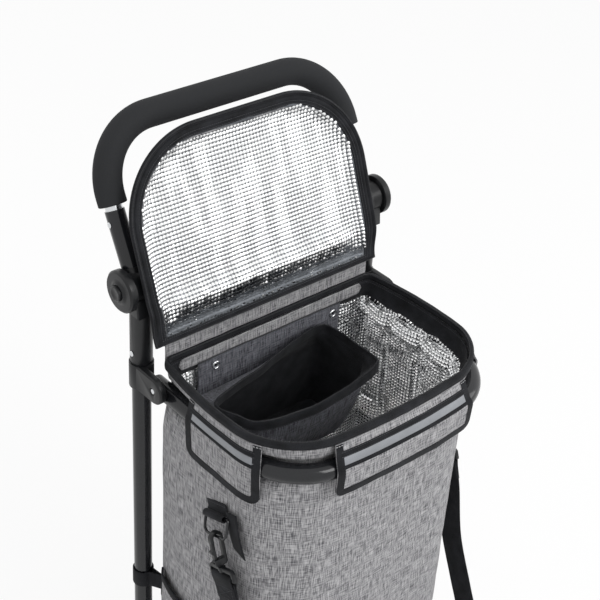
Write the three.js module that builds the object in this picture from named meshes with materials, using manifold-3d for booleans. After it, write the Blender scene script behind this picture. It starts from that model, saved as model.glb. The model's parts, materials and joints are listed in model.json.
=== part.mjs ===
// A two-wheeled shopping trolley: a tube frame with a hinged handle, a fabric bag with a zipped insulated
// lid hung in a support ring, a removable inner pouch, and a shoulder strap on two snap hooks.
// Millimetres. X runs to the right, -Y is the front, Z points up from the floor.

import * as THREE from 'three';
import { mergeVertices } from 'three/addons/utils/BufferGeometryUtils.js';
import Module from 'manifold-3d';

const wasm = await Module();
wasm.setup();

// Overall layout
const rimHeight = 700;
const legSpacing = 375;
const fit = 0.3;
const cutOverrun = 1;
const roundSides = 24;
const tubeSides = 16;
const bentTubeSides = 12;
const hingeSides = 32;
const wheelSides = 30;

// Frame tubes
const legDiameter = 25;
const legWall = 1.5;
const legBelowAxle = 20;
const legTopBelowHinge = 40;
const crossbarDiameter = 19;
const crossbarWall = 1.5;
const crossbarHeight = 190;

// Support ring for the bag, and the brackets that hold it to the legs
const ringDiameter = 25;
const ringBelowRim = 46;
const ringFront = 280;
const ringFrontCornerRadius = 76;
const ringFrontBow = 13;
const ringEndSetback = 17.5;
const bracketTopBelowRim = 16;
const bracketHeight = 36;
const bracketReach = 60;
const bracketPlate = 11;
const bracketPlateOffset = 2.8;
const bracketCollarDiameter = 32;
const bracketBevel = 2;
const rivetSetFromTip = 18;
const rivetRecessDepth = 1.5;
const rivetRecessDiameter = 10;
const rivetDiameter = 7.5;
const rivetHeadHeight = 1.4;
const rivetShankDiameter = 4;
const rivetShankLength = 5;

// Foot frame, its feet and its brackets
const footTubeDiameter = 19;
const footBendRadius = 34;
const footFront = 252;
const footPadDiameter = 25.6;
const footPadFlat = 0.6;
const footPadLength = 44;
const footPadSpacing = 190;
const footBracketHeight = 30;
const footBracketReach = 58;
const bagBottom = 132;

// Wheels and axle
const wheelDiameter = 170;
const tyreWidth = 30;
const tyreThickness = 12;
const wheelRimWidth = 24;
const wheelRimDepth = 8;
const wheelWebThickness = 6;
const wheelHubDiameter = 34;
const wheelHubWidth = 34;
const wheelSpokes = 5;
const spokeWidth = 17;
const wheelHubWall = 4;
const wheelGap = 2;
const axleDiameter = 10;

// Handle hinge
const hingeRise = 91;
const hingeSetback = 8;
const handleTilt = THREE.MathUtils.degToRad(28.4);
const handleFold = THREE.MathUtils.degToRad(90);
const housingDiameter = 29;
const housingBottomBelowRim = 15.5;
const knuckleDiameter = 42;
const knuckleBevel = 1.5;
const neckDepthBelowHinge = 34;
const hingeDiscDiameter = 55;
const hingeDiscThickness = 12;
const hingeDiscGap = 0.6;
const hingeDiscEdge = 2.5;
const buttonCollarDiameter = 30;
const buttonCollarHeight = 2;
const buttonDiameter = 20;
const buttonProud = 3.5;
const buttonSeatDepth = 8;
const buttonDish = 0.8;
const buttonTravel = 4;
const pivotDiameter = 8;
const pivotFloor = 3;

// Handle bow
const gripCornerRadius = 82;
const armTubeStart = 24.3;
const armTubeEnd = 96;
const armCollarBack = 9;
const spigotEnd = 37;
const gripTubeStart = 44;
const gripTubeDiameter = 21.4;
const gripTubeWall = 1.5;
const foamStart = 102;
const foamStraight = 10;
const foamDiameter = 36;
const handleRivetFromEnd = 16;

// Bag: plan outline at the rim, then its walls
const bagShift = -3.5;
const bagInsideRing = 3.5;
const bagBack = 28;
const bagFront = 266;
const bagBackRadius = 15;
const bagFrontRadius = 72;
const bagSideBulge = 13;
const bagFrontBow = 15;
const bagWall = 2;
const bagBodyInset = 4;
const bagFootRadius = 10;
const rimTapeHeight = 9;
const rimTapeWidth = 6;
const rimTapeCrown = 1.5;
const liningWall = 1.6;
const liningGap = 0.45;
const liningBottomGap = 10.3;

// Flaps that hang over the support ring
const flapWall = 1.8;
const flapBottomBelowRim = 97;
const flapFrontBottomBelowRim = 78;
const flapSideFrom = 105;
const flapSideTo = 226;
const flapFrontSetback = 66;
const flapSeat = 1.2;
const flapLowerInset = 2;
const flapSteps = 8;

// Pocket on the left side, near the bottom
const pocketBackBelowRim = 341;
const pocketFrontBelowRim = 377;
const pocketFrom = 44;
const pocketTo = 214;
const pocketGap = 7;
const pocketWall = 2;
const pocketBottomLift = 24;

// Inner pouch, which hangs on press-studs from a panel on the back wall
const panelLeftSetback = 46;
const panelRightSetback = 62;
const panelTopBelowRim = 24;
const panelBottomBelowRim = 78;
const panelThickness = 2;
const studFromPanelEnd = 12;
const studBelowRim = 38;
const studDiameter = 12;
const studHeight = 2.5;
const pouchLeftSetback = 28;
const pouchRightSetback = 94;
const pouchDepth = 139;
const pouchTopBelowRim = 40;
const pouchHeight = 128;
const pouchWall = 2;

// Lid, its band and the strip that it hinges on
const lidTilt = THREE.MathUtils.degToRad(21.3);
const lidShift = -4;
const lidOverhang = 13;
const lidBaseNarrowing = 15;
const lidBaseTaper = 58;
const lidLength = 257;
const lidCornerAcross = 120;
const lidCornerAlong = 115;
const lidBaseGap = 0.5;
const lidDepth = 20.4;
const lidBandDepth = 17;
const lidShoulderDepth = 13.5;
const lidInset = 20;
const lidWall = 3;
const lidBandWidth = 4;
const lidHingeRise = 21;
const gussetThickness = 2.4;
const gussetSetback = 6;

// Zip slider and its pull, at the left end of the strip that the lid hinges on
const sliderFromEnd = 6;
const sliderLength = 10;
const sliderHeight = 9;
const sliderDepth = 4;
const pullLength = 32;
const pullWidth = 7;
const pullThickness = 1.6;
const pullRim = 1.8;
const pullPinDiameter = 2;
const pullHoleDiameter = 2.8;
const pullEar = 3.6;
const pullEarThickness = 1.4;

// Shoulder strap, its tabs and rings on the bag, and its snap hooks
const webbingWidth = 40;
const webbingThickness = 1.8;
const hookLean = THREE.MathUtils.degToRad(20);
const tabSetback = 165;
const tabBelowRim = 152;
const tabTubeDiameter = 10;
const tabBoreDiameter = 6.6;
const tabStand = 6;
const tabSewnHeight = 26;
const ringBar = 4;
const ringInnerWidth = 42;
const ringDrop = 26;
const ringTopCorner = 3;
const ringLowCorner = 9;
const ringSwing = THREE.MathUtils.degToRad(20);
const hookThickness = 8;
const hookBar = 4.4;
const hookEyeRadius = 5;
const hookPlay = 0.5;
const hookLength = 38;
const hookBaseHeight = 10;
const hookNose = 5;
const hookStemGap = 2.5;
const hookStemDiameter = 5;
const hookHeadDiameter = 8;
const hookHeadHeight = 2.6;
const gateThickness = 3.6;
const gateWidth = 6;
const gateTongue = 3.2;
const gatePivotLift = 8;
const gatePinDiameter = 2.4;
const gateBarrelDiameter = 5.2;
const gateThumb = 2.6;
const swivelWidth = 50;
const swivelHeight = 16;
const swivelThickness = 6;
const swivelBar = 4.6;
const swivelEnd = 4;
const swivelBossDiameter = 10;
const strapLoopTail = 6;
const strapLead = 30;
const strapBottomHeight = 168;
const strapFront = 316;

// The band that ties the bag to the legs
const legBandBelowRim = 385;
const legBandHeight = 26;
const legBandThickness = 1.6;

// Values that follow from the ones above
const legX = legSpacing / 2;
const legRadius = legDiameter / 2;
const axleHeight = wheelDiameter / 2;
const tyreSeatDiameter = wheelDiameter - 2 * tyreThickness;
const hingeHeight = rimHeight + hingeRise;
const handleReach = foamStart + foamStraight + gripCornerRadius;
const ringHeight = rimHeight - ringBelowRim;
const bracketMiddle = rimHeight - bracketTopBelowRim - bracketHeight / 2;
const bracketPlateInner = legX + bracketPlateOffset;
const ringRadius = ringDiameter / 2;
const ringHalfWidth = bracketPlateInner - fit - ringRadius;
const footRadius = footTubeDiameter / 2;
const bagHalfWidth = ringHalfWidth - bagInsideRing;
const lidHalfWidth = bagHalfWidth + lidOverhang;
const lidBaseHalfWidth = lidHalfWidth - lidBaseNarrowing;
const gussetHalfWidth = bagHalfWidth - gussetSetback;
const sliderFromMiddle = gussetHalfWidth - sliderFromEnd;
const flapFrontHalfWidth = bagHalfWidth - flapFrontSetback;
const panelLeft = bagHalfWidth - panelLeftSetback;
const panelRight = bagHalfWidth - panelRightSetback;
const studSpacing = 2 * (panelRight - studFromPanelEnd);
const pouchLeft = bagHalfWidth - pouchLeftSetback;
const pouchWidth = pouchLeft + bagHalfWidth - pouchRightSetback;
const footHalfWidth = bracketPlateInner - fit - footRadius;
const footRailHeight = bagBottom - fit - footRadius;
const footPadHeight = footPadDiameter / 2 - footPadFlat;
const lidHingeHeight = rimHeight + lidHingeRise;
const lidHingeY = -(bagBack + gussetThickness + fit);

// Materials
function material(color, roughness, metalness) {
  return new THREE.MeshStandardMaterial({ color, roughness, metalness });
}

const blackPaint = material(0x1a1b1d, 0.35, 0.2);
const blackPlastic = material(0x2a2c2f, 0.5, 0);
const brightSteel = material(0xc9ccd0, 0.25, 1);
const blackFoam = material(0x2f3032, 0.95, 0);
const greyFabric = material(0x8f9093, 0.95, 0);
const darkFabric = material(0x5c5d62, 0.95, 0);
const blackTape = material(0x2c2d30, 0.85, 0);
const silverFoil = material(0xc8cacd, 0.3, 0.8);
const blackRubber = material(0x202022, 0.9, 0);

// Solids and booleans
function solidOf(geometry) {
  const merged = mergeVertices(facingOut(geometry));
  const mesh = new wasm.Mesh({
    numProp: 3,
    vertProperties: new Float32Array(merged.attributes.position.array),
    triVerts: new Uint32Array(merged.index.array),
  });
  return new wasm.Manifold(mesh);
}

// Turns a closed geometry so that its faces point outwards
function facingOut(geometry) {
  const loose = geometry.index ? geometry.toNonIndexed() : geometry.clone();
  loose.deleteAttribute('normal');
  loose.deleteAttribute('uv');
  const place = loose.attributes.position;
  const corner = (i) => new THREE.Vector3().fromBufferAttribute(place, i);
  let volume = 0;
  for (let i = 0; i < place.count; i += 3) {
    volume += corner(i).dot(new THREE.Vector3().crossVectors(corner(i + 1), corner(i + 2)));
  }
  for (let i = 0; volume < 0 && i < place.count; i += 3) {
    const [b, c] = [corner(i + 1), corner(i + 2)];
    place.setXYZ(i + 1, c.x, c.y, c.z);
    place.setXYZ(i + 2, b.x, b.y, b.z);
  }
  return loose;
}

function geometryOf(solid) {
  const mesh = solid.getMesh();
  const geometry = new THREE.BufferGeometry();
  geometry.setAttribute('position', new THREE.BufferAttribute(new Float32Array(mesh.vertProperties), 3));
  geometry.setIndex(new THREE.BufferAttribute(new Uint32Array(mesh.triVerts), 1));
  return geometry;
}

function combine(kept, cut = []) {
  let solid = solidOf(kept[0]);
  for (const piece of kept.slice(1)) {
    solid = solid.add(solidOf(piece));
  }
  for (const piece of cut) {
    solid = solid.subtract(solidOf(piece));
  }
  return geometryOf(solid);
}

// A surface from corner points and triangles, turned so that its faces point outwards
function closedSurface(points, triangles) {
  let volume = 0;
  for (const [a, b, c] of triangles) {
    volume += points[a].dot(new THREE.Vector3().crossVectors(points[b], points[c]));
  }
  const index = [];
  for (const [a, b, c] of triangles) {
    index.push(...(volume > 0 ? [a, b, c] : [a, c, b]));
  }
  const geometry = new THREE.BufferGeometry();
  const places = points.flatMap((p) => p.toArray());
  geometry.setAttribute('position', new THREE.Float32BufferAttribute(places, 3));
  geometry.setIndex(index);
  return geometry;
}

// Joins rings of points one to the next, and closes the first and the last with a fan
function ringStack(rings) {
  const count = rings[0].length;
  const points = rings.flat();
  const triangles = [];
  for (let ring = 0; ring < rings.length - 1; ring += 1) {
    for (let i = 0; i < count; i += 1) {
      const next = (i + 1) % count;
      const low = ring * count;
      const high = low + count;
      triangles.push([low + i, low + next, high + next], [low + i, high + next, high + i]);
    }
  }
  for (const ring of [0, rings.length - 1]) {
    const centre = new THREE.Vector3();
    rings[ring].forEach((point) => centre.addScaledVector(point, 1 / count));
    const hub = points.length;
    points.push(centre);
    for (let i = 0; i < count; i += 1) {
      const a = ring * count + i;
      const b = ring * count + ((i + 1) % count);
      triangles.push(ring === 0 ? [hub, b, a] : [hub, a, b]);
    }
  }
  return closedSurface(points, triangles);
}

// Joins rings of points in a closed loop, as in a hoop
function ringLoop(rings) {
  const count = rings[0].length;
  const triangles = [];
  for (let ring = 0; ring < rings.length; ring += 1) {
    const low = ring * count;
    const high = ((ring + 1) % rings.length) * count;
    for (let i = 0; i < count; i += 1) {
      const next = (i + 1) % count;
      triangles.push([low + i, low + next, high + next], [low + i, high + next, high + i]);
    }
  }
  return closedSurface(rings.flat(), triangles);
}

// A round bar from one point to another
function rod(from, to, diameter, sides = roundSides) {
  const along = new THREE.Vector3().subVectors(to, from);
  const geometry = new THREE.CylinderGeometry(diameter / 2, diameter / 2, along.length(), sides);
  const turn = new THREE.Quaternion();
  turn.setFromUnitVectors(new THREE.Vector3(0, 1, 0), along.clone().normalize());
  geometry.applyQuaternion(turn);
  const middle = new THREE.Vector3().addVectors(from, to).multiplyScalar(1 / 2);
  return geometry.translate(middle.x, middle.y, middle.z);
}

function rodX(fromX, toX, y, z, diameter, sides = roundSides) {
  return rod(new THREE.Vector3(fromX, y, z), new THREE.Vector3(toX, y, z), diameter, sides);
}

function rodZ(x, y, fromZ, toZ, diameter, sides = roundSides) {
  return rod(new THREE.Vector3(x, y, fromZ), new THREE.Vector3(x, y, toZ), diameter, sides);
}

// A pipe turned on the Z axis
function pipeZ(x, y, fromZ, toZ, diameter, wall, sides = tubeSides) {
  const outer = diameter / 2;
  const inner = outer - wall;
  const profile = [[inner, fromZ], [outer, fromZ], [outer, toZ], [inner, toZ], [inner, fromZ]];
  const points = profile.map(([radius, z]) => new THREE.Vector2(radius, z));
  const geometry = new THREE.LatheGeometry(points, sides).rotateX(Math.PI / 2);
  return geometry.translate(x, y, 0);
}

// A body of revolution about the X axis: profile rows are [distance along -X, radius]
function turnedX(profile, y, z, sides = roundSides) {
  const points = profile.map(([along, radius]) => new THREE.Vector2(radius, along));
  const geometry = new THREE.LatheGeometry(points, sides).rotateZ(Math.PI / 2);
  return geometry.translate(0, y, z);
}

// A flat shape drawn in Y and Z and given a thickness along X
function plateX(shape, fromX, toX, bevel = 0) {
  const low = Math.min(fromX, toX);
  const thickness = Math.abs(toX - fromX);
  const geometry = new THREE.ExtrudeGeometry(shape, {
    depth: thickness - 2 * bevel,
    curveSegments: roundSides / 2,
    bevelEnabled: bevel > 0,
    bevelThickness: bevel,
    bevelSize: bevel,
    bevelOffset: -bevel,
    bevelSegments: 1,
  });
  geometry.applyMatrix4(new THREE.Matrix4().set(0, 0, 1, 0, 1, 0, 0, 0, 0, 1, 0, 0, 0, 0, 0, 1));
  return geometry.translate(low + bevel, 0, 0);
}

function block(fromX, toX, fromY, toY, fromZ, toZ) {
  const geometry = new THREE.BoxGeometry(Math.abs(toX - fromX), Math.abs(toY - fromY), Math.abs(toZ - fromZ));
  return geometry.translate((fromX + toX) / 2, (fromY + toY) / 2, (fromZ + toZ) / 2);
}

function mirrored(geometry) {
  return facingOut(facingOut(geometry).scale(-1, 1, 1));
}

function roundOutline(diameter, sides) {
  const points = [];
  for (let i = 0; i < sides; i += 1) {
    const angle = (2 * Math.PI * i) / sides;
    points.push(new THREE.Vector2(Math.cos(angle), Math.sin(angle)).multiplyScalar(diameter / 2));
  }
  return points;
}

// A round tube bent along a path, with a bore where it has a wall
function bentTube(path, diameter, wall, sides = bentTubeSides, boreSides = sides / 2) {
  const section = new THREE.Shape(roundOutline(diameter, sides));
  if (wall > 0) {
    section.holes.push(new THREE.Path(roundOutline(diameter - 2 * wall, boreSides)));
  }
  return new THREE.ExtrudeGeometry(section, { steps: path.steps, bevelEnabled: false, extrudePath: path });
}

const straightBend = 0.001;

// A path of straight runs with round corners, sampled more closely round the corners
class BentPath extends THREE.Curve {
  constructor(corners, radius, cornerSteps) {
    super();
    this.points = [corners[0].clone()];
    for (let i = 1; i < corners.length - 1; i += 1) {
      this.addCorner(corners[i - 1], corners[i], corners[i + 1], radius, cornerSteps);
    }
    this.points.push(corners[corners.length - 1].clone());
  }

  addCorner(before, corner, after, radius, cornerSteps) {
    const arrive = new THREE.Vector3().subVectors(corner, before).normalize();
    const leave = new THREE.Vector3().subVectors(after, corner).normalize();
    const bend = arrive.angleTo(leave);
    if (bend < straightBend) {
      this.points.push(corner.clone());
      return;
    }
    const trim = radius * Math.tan(bend / 2);
    const inward = new THREE.Vector3().subVectors(leave, arrive).normalize();
    const centre = corner.clone().addScaledVector(inward, radius / Math.cos(bend / 2));
    const start = corner.clone().addScaledVector(arrive, -trim);
    const axis = new THREE.Vector3().crossVectors(arrive, leave).normalize();
    for (let step = 0; step <= cornerSteps; step += 1) {
      const arm = new THREE.Vector3().subVectors(start, centre);
      arm.applyAxisAngle(axis, (bend * step) / cornerSteps);
      this.points.push(arm.add(centre));
    }
  }

  getPoint(t) {
    const place = Math.min(t, 1) * (this.points.length - 1);
    const index = Math.min(Math.floor(place), this.points.length - 2);
    return new THREE.Vector3().lerpVectors(this.points[index], this.points[index + 1], place - index);
  }

  getTangent(t) {
    const index = Math.round(t * this.steps);
    const after = this.direction(Math.min(index, this.steps - 1));
    return this.direction(Math.max(index - 1, 0)).add(after).normalize();
  }

  direction(index) {
    return new THREE.Vector3().subVectors(this.points[index + 1], this.points[index]).normalize();
  }

  // The path is sampled at its own points, not at even distances
  getUtoTmapping(share) {
    return share;
  }

  get steps() {
    return this.points.length - 1;
  }
}

// Plan outlines
const pinchGap = ringRadius + 1;
const bagPlan = {
  shift: bagShift,
  halfWidth: bagHalfWidth,
  back: -bagBack,
  front: -bagFront,
  backRadius: bagBackRadius,
  frontRadius: bagFrontRadius,
  bulge: bagSideBulge,
  bow: bagFrontBow,
};
const ringPlan = {
  shift: 0,
  halfWidth: ringHalfWidth,
  back: -bagBack + pinchGap,
  front: -ringFront + ringFrontBow,
  backRadius: bagBackRadius,
  frontRadius: ringFrontCornerRadius,
  bulge: 0,
  bow: ringFrontBow,
};
const outlineSideSteps = 4;
const outlineCornerSteps = 6;
const outlineFrontSteps = 4;
const ringCornerSteps = 3;
const outlineHalf = 3 + outlineSideSteps + outlineCornerSteps + outlineFrontSteps / 2;

// Points round a plan: from the middle of the back, round the left side, the front and the right side
function planPoints(plan, inset, z) {
  const half = plan.halfWidth - inset;
  const back = plan.back - inset;
  const front = plan.front + inset;
  const backRadius = Math.max(plan.backRadius - inset, plan.backRadius / 4);
  const frontRadius = Math.max(plan.frontRadius - inset, plan.frontRadius / 4);
  const left = [];
  const arc = (cx, cy, radius, fromAngle, steps) => {
    for (let i = 0; i <= steps; i += 1) {
      const angle = fromAngle + (Math.PI / 2) * (i / steps);
      left.push([cx + radius * Math.cos(angle), cy + radius * Math.sin(angle)]);
    }
  };
  left.push([0, back]);
  arc(-half + backRadius, back - backRadius, backRadius, Math.PI / 2, 2);
  const sideFrom = back - backRadius;
  const sideTo = front + frontRadius;
  for (let i = 1; i < outlineSideSteps; i += 1) {
    left.push([-half, sideFrom + (sideTo - sideFrom) * (i / outlineSideSteps)]);
  }
  arc(-half + frontRadius, front + frontRadius, frontRadius, Math.PI, outlineCornerSteps);
  for (let i = 1; i <= outlineFrontSteps / 2; i += 1) {
    left.push([(-half + frontRadius) * (1 - (2 * i) / outlineFrontSteps), front]);
  }
  const right = left.slice(1, -1).reverse().map(([x, y]) => [-x, y]);
  return [...left, ...right].map(([x, y]) => bulged(plan, x, y, z));
}

// Lets the sides swell and the front bow, as stretched cloth does
function bulged(plan, x, y, z) {
  const middle = (plan.back + plan.front) / 2;
  const reach = (plan.back - plan.front) / 2;
  const along = (y - middle) / reach;
  const across = x / plan.halfWidth;
  const swell = 1 + (plan.bulge / plan.halfWidth) * Math.max(0, 1 - along * along);
  const bow = plan.bow * Math.max(0, -along) * Math.max(0, 1 - across * across);
  return new THREE.Vector3(x * swell + plan.shift, y - bow, z);
}

const freeWallShare = 0.84;
const pinchEdgeShare = 0.08;
const pinchShoulderShare = 0.8;

// How far each level of the bag's wall lies between the free outline and the one pinched by the ring
const wallLevels = [
  { z: bagBottom, inset: bagBodyInset + bagFootRadius, pinch: 0 },
  { z: bagBottom + bagFootRadius / 3, inset: bagBodyInset + bagFootRadius / 3, pinch: 0 },
  { z: bagBottom + bagFootRadius, inset: bagBodyInset, pinch: 0 },
  { z: ringHeight - 2 * ringDiameter, inset: bagBodyInset, pinch: 0 },
  { z: ringHeight - ringDiameter * freeWallShare, inset: bagBodyInset, pinch: pinchEdgeShare },
  { z: ringHeight - ringDiameter / 2, inset: 0, pinch: pinchShoulderShare },
  { z: ringHeight - ringDiameter / 4, inset: 0, pinch: 1 },
  { z: ringHeight + ringDiameter / 4, inset: 0, pinch: 1 },
  { z: ringHeight + ringDiameter / 2, inset: 0, pinch: pinchShoulderShare },
  { z: ringHeight + ringDiameter * freeWallShare, inset: bagBodyInset, pinch: pinchEdgeShare },
  { z: rimHeight - rimTapeHeight - fit, inset: bagBodyInset / 2, pinch: 0 },
];

function wallRing(level, extraInset) {
  const free = planPoints(bagPlan, level.inset + extraInset, level.z);
  const held = planPoints(ringPlan, pinchGap + extraInset, level.z);
  return free.map((point, i) => point.clone().lerp(held[i], level.pinch));
}

function bagBody() {
  const outer = wallLevels.map((level) => wallRing(level, 0));
  const floor = { ...wallLevels[1], z: bagBottom + bagWall };
  const inner = [floor, ...wallLevels.slice(2)].map((level) => wallRing(level, bagWall)).reverse();
  return ringStack([...outer, ...inner]);
}

function bagLining() {
  const inset = bagWall + liningGap;
  const bottom = bagBottom + liningBottomGap;
  const kept = wallLevels.slice(2);
  const low = { ...wallLevels[2], z: bottom };
  const levels = [low, ...kept.slice(1)];
  const outer = levels.map((level) => wallRing(level, inset)).reverse();
  const floor = { ...low, z: bottom + liningWall };
  const inner = [floor, ...levels.slice(1)].map((level) => wallRing(level, inset + liningWall));
  return ringStack([...inner, ...outer]);
}

// The tape that binds the bag's rim
function rimTape() {
  const top = rimHeight;
  const bottom = rimHeight - rimTapeHeight;
  const section = [
    [0, bottom],
    [0, top - rimTapeCrown],
    [rimTapeCrown, top],
    [rimTapeWidth - rimTapeCrown, top],
    [rimTapeWidth, top - rimTapeCrown],
    [rimTapeWidth, bottom],
  ];
  return ringLoop(section.map(([inset, z]) => planPoints(bagPlan, inset, z)));
}

// The piece of an outline between two values of x or y, at evenly spaced values
function outlineRun(outline, key, from, to, count) {
  const run = [];
  for (let i = 0; i <= count; i += 1) {
    const value = from + (to - from) * (i / Math.max(count, 1));
    for (let k = 0; k < outline.length; k += 1) {
      const a = outline[k];
      const b = outline[(k + 1) % outline.length];
      const share = (value - a[key]) / (b[key] - a[key]);
      if (share >= 0 && share < 1) {
        run.push(a.clone().lerp(b, share));
        break;
      }
    }
  }
  return run;
}

// A sheet with thickness between two grids of points with the same rows
function sheetSolid(outerRows, innerRows) {
  const rows = outerRows.length;
  const count = outerRows[0].length;
  const rings = [];
  for (let i = 0; i < count; i += 1) {
    const down = outerRows.map((row) => row[i]);
    const up = innerRows.map((row) => row[i]).reverse();
    rings.push([...down, ...up]);
  }
  const last = count - 1;
  const size = 2 * rows;
  const points = rings.flat();
  const triangles = [];
  for (let i = 0; i < last; i += 1) {
    for (let k = 0; k < size; k += 1) {
      const next = (k + 1) % size;
      const a = i * size;
      const b = a + size;
      triangles.push([a + k, a + next, b + next], [a + k, b + next, b + k]);
    }
  }
  for (const end of [0, last]) {
    for (let k = 0; k < rows - 1; k += 1) {
      const a = end * size + k;
      const b = end * size + k + 1;
      const c = end * size + size - 2 - k;
      const d = end * size + size - 1 - k;
      if (end === 0) {
        triangles.push([a, c, b], [a, d, c]);
      } else {
        triangles.push([a, b, c], [a, c, d]);
      }
    }
  }
  return closedSurface(points, triangles);
}

const flapShoulderShare = 0.7;

// A flap sewn to the wall under the rim tape, which hangs over the ring and down outside the bag
function flap(key, from, to, bottomBelowRim, firstPoint, lastPoint) {
  const levels = [
    { z: rimHeight - rimTapeHeight - fit, over: 0, drop: 0 },
    { z: ringHeight + ringRadius, over: flapShoulderShare, drop: 0 },
    { z: ringHeight + ringRadius / 2, over: 1, drop: 0 },
    { z: ringHeight - ringRadius / 2, over: 1, drop: 0 },
    { z: rimHeight - bottomBelowRim, over: 1, drop: flapLowerInset },
  ];
  const rowsAt = (thickness) => levels.map(({ z, over, drop }) => {
    const free = planPoints(bagPlan, bagBodyInset / 2 - flapSeat - thickness, z);
    const held = planPoints(ringPlan, drop - pinchGap - thickness, z);
    const outline = free.map((point, i) => point.clone().lerp(held[i], over));
    return outlineRun(outline.slice(firstPoint, lastPoint), key, from, to, flapSteps);
  });
  return sheetSolid(rowsAt(flapWall), rowsAt(0));
}

const pocketAlongShares = [0, 0.05, 0.216, 0.438, 0.66, 0.882, 0.95, 1];
const pocketUpShares = [0, 0.06, 1];

// A patch pocket on the left side, sewn down at its ends and its foot and open at its slanted top edge
function sidePocket() {
  const bottom = bagBottom + pocketBottomLift;
  const rowsAt = (wall) => pocketUpShares.map((up, row) => {
    const points = [];
    pocketAlongShares.forEach((share, column) => {
      const sewn = row === 0 || column === 0 || column === pocketAlongShares.length - 1;
      const stand = 2 * fit + wall + (sewn ? 0 : pocketGap);
      const y = -pocketFrom - (pocketTo - pocketFrom) * share;
      const top = rimHeight - pocketBackBelowRim - (pocketFrontBelowRim - pocketBackBelowRim) * share;
      const side = planPoints(bagPlan, bagBodyInset - stand, bottom + (top - bottom) * up);
      points.push(...outlineRun(side.slice(1, outlineHalf), 'y', y, y, 0));
    });
    return points;
  });
  return sheetSolid(rowsAt(pocketWall), rowsAt(0));
}

const liningFace = bagBack + bagBodyInset + bagWall + liningGap + liningWall;
const panelBack = -liningFace - fit;
const panelFront = panelBack - panelThickness;

function studPanel() {
  const top = rimHeight - panelTopBelowRim;
  const bottom = rimHeight - panelBottomBelowRim;
  return block(-panelLeft, panelRight, panelFront, panelBack, bottom, top);
}

function pressStud(side) {
  const seat = panelFront - fit;
  const profile = [[0, 0], [studDiameter / 2, 0], [studDiameter / 2, studHeight / 3],
    [studDiameter / 3, studHeight], [0, studHeight]];
  const stud = new THREE.LatheGeometry(profile.map(([r, h]) => new THREE.Vector2(r, h)), tubeSides);
  stud.rotateX(Math.PI);
  return stud.translate((side * studSpacing) / 2, seat, rimHeight - studBelowRim);
}

// Plan of the pouch, as shares of its width and depth from its left back corner
const pouchMouthShares = [
  [0, 0.43], [0.38, 0.26], [0.72, 0.12], [0.95, 0.06], [1, 0.22], [1, 0.7], [0.965, 0.86],
  [0.75, 0.95], [0.49, 1], [0.12, 0.92], [0.02, 0.73],
];
const pouchMiddleShares = [
  [0.06, 0], [0.38, 0], [0.72, 0], [0.93, 0], [0.98, 0.1], [0.98, 0.6], [0.93, 0.72],
  [0.72, 0.78], [0.49, 0.81], [0.15, 0.77], [0.06, 0.6],
];
const pouchFootShares = [
  [0.08, 0], [0.38, 0], [0.72, 0], [0.91, 0], [0.95, 0.1], [0.95, 0.45], [0.91, 0.54],
  [0.72, 0.57], [0.49, 0.58], [0.16, 0.56], [0.08, 0.45],
];

function innerPouch() {
  const top = rimHeight - pouchTopBelowRim;
  const middle = rimHeight - panelBottomBelowRim + panelThickness;
  const bottom = top - pouchHeight;
  const backFace = panelFront - fit;
  const ring = (shares, z, inset) => {
    const points = shares.map(([across, deep]) => new THREE.Vector2(
      -pouchLeft + pouchWidth * across,
      backFace - pouchDepth * deep,
    ));
    const count = points.length;
    return points.map((point, i) => {
      const before = points[(i + count - 1) % count];
      const after = points[(i + 1) % count];
      const along = new THREE.Vector2().subVectors(after, before).normalize();
      return new THREE.Vector3(point.x + along.y * inset, point.y - along.x * inset, z);
    });
  };
  return ringStack([
    ring(pouchFootShares, bottom, 0),
    ring(pouchMiddleShares, middle, 0),
    ring(pouchMouthShares, top, 0),
    ring(pouchMouthShares, top, pouchWall),
    ring(pouchMiddleShares, middle, pouchWall),
    ring(pouchFootShares, bottom + pouchWall, pouchWall),
  ]);
}

// The point of an outline that lies nearest to a place in plan
function nearestPoint(outline, place) {
  let best = null;
  outline.forEach((from, i) => {
    const span = new THREE.Line3(from, outline[(i + 1) % outline.length]);
    const point = span.closestPointToPoint(place, true, new THREE.Vector3());
    if (best === null || point.distanceTo(place) < best.distanceTo(place)) {
      best = point;
    }
  });
  return best;
}

// A loop of webbing round a leg, with a tail that reaches the band at the bag's back corner
function legLoop(side, height) {
  const axis = new THREE.Vector3(side * legX, 0, height);
  const corner = nearestPoint(planPoints(bagPlan, bagBodyInset, height), axis);
  const away = new THREE.Vector3().subVectors(corner, axis);
  const inner = legRadius + fit;
  const half = legBandHeight / 2;
  const hoop = pipeZ(0, 0, -half, half, 2 * (inner + legBandThickness), legBandThickness);
  const tail = block(
    inner + legBandThickness / 2,
    away.length() - fit - legBandThickness / 4,
    -legBandThickness / 2,
    legBandThickness / 2,
    -half,
    half,
  );
  const loop = combine([hoop, tail]);
  loop.rotateZ(Math.atan2(away.y, away.x));
  return loop.translate(axis.x, axis.y, axis.z);
}

// The band of webbing across the bag's back, with a loop round each leg
function legBand() {
  const middle = rimHeight - legBandBelowRim;
  const half = legBandHeight / 2;
  const rowsAt = (stand) => [-half, half].map((lift) => {
    const outline = planPoints(bagPlan, bagBodyInset - stand, middle + lift);
    return [...outline.slice(0, 4).reverse(), ...outline.slice(-3).reverse()];
  });
  const across = sheetSolid(rowsAt(fit + legBandThickness), rowsAt(fit));
  return combine([across, legLoop(-1, middle), legLoop(1, middle)]);
}

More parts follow.
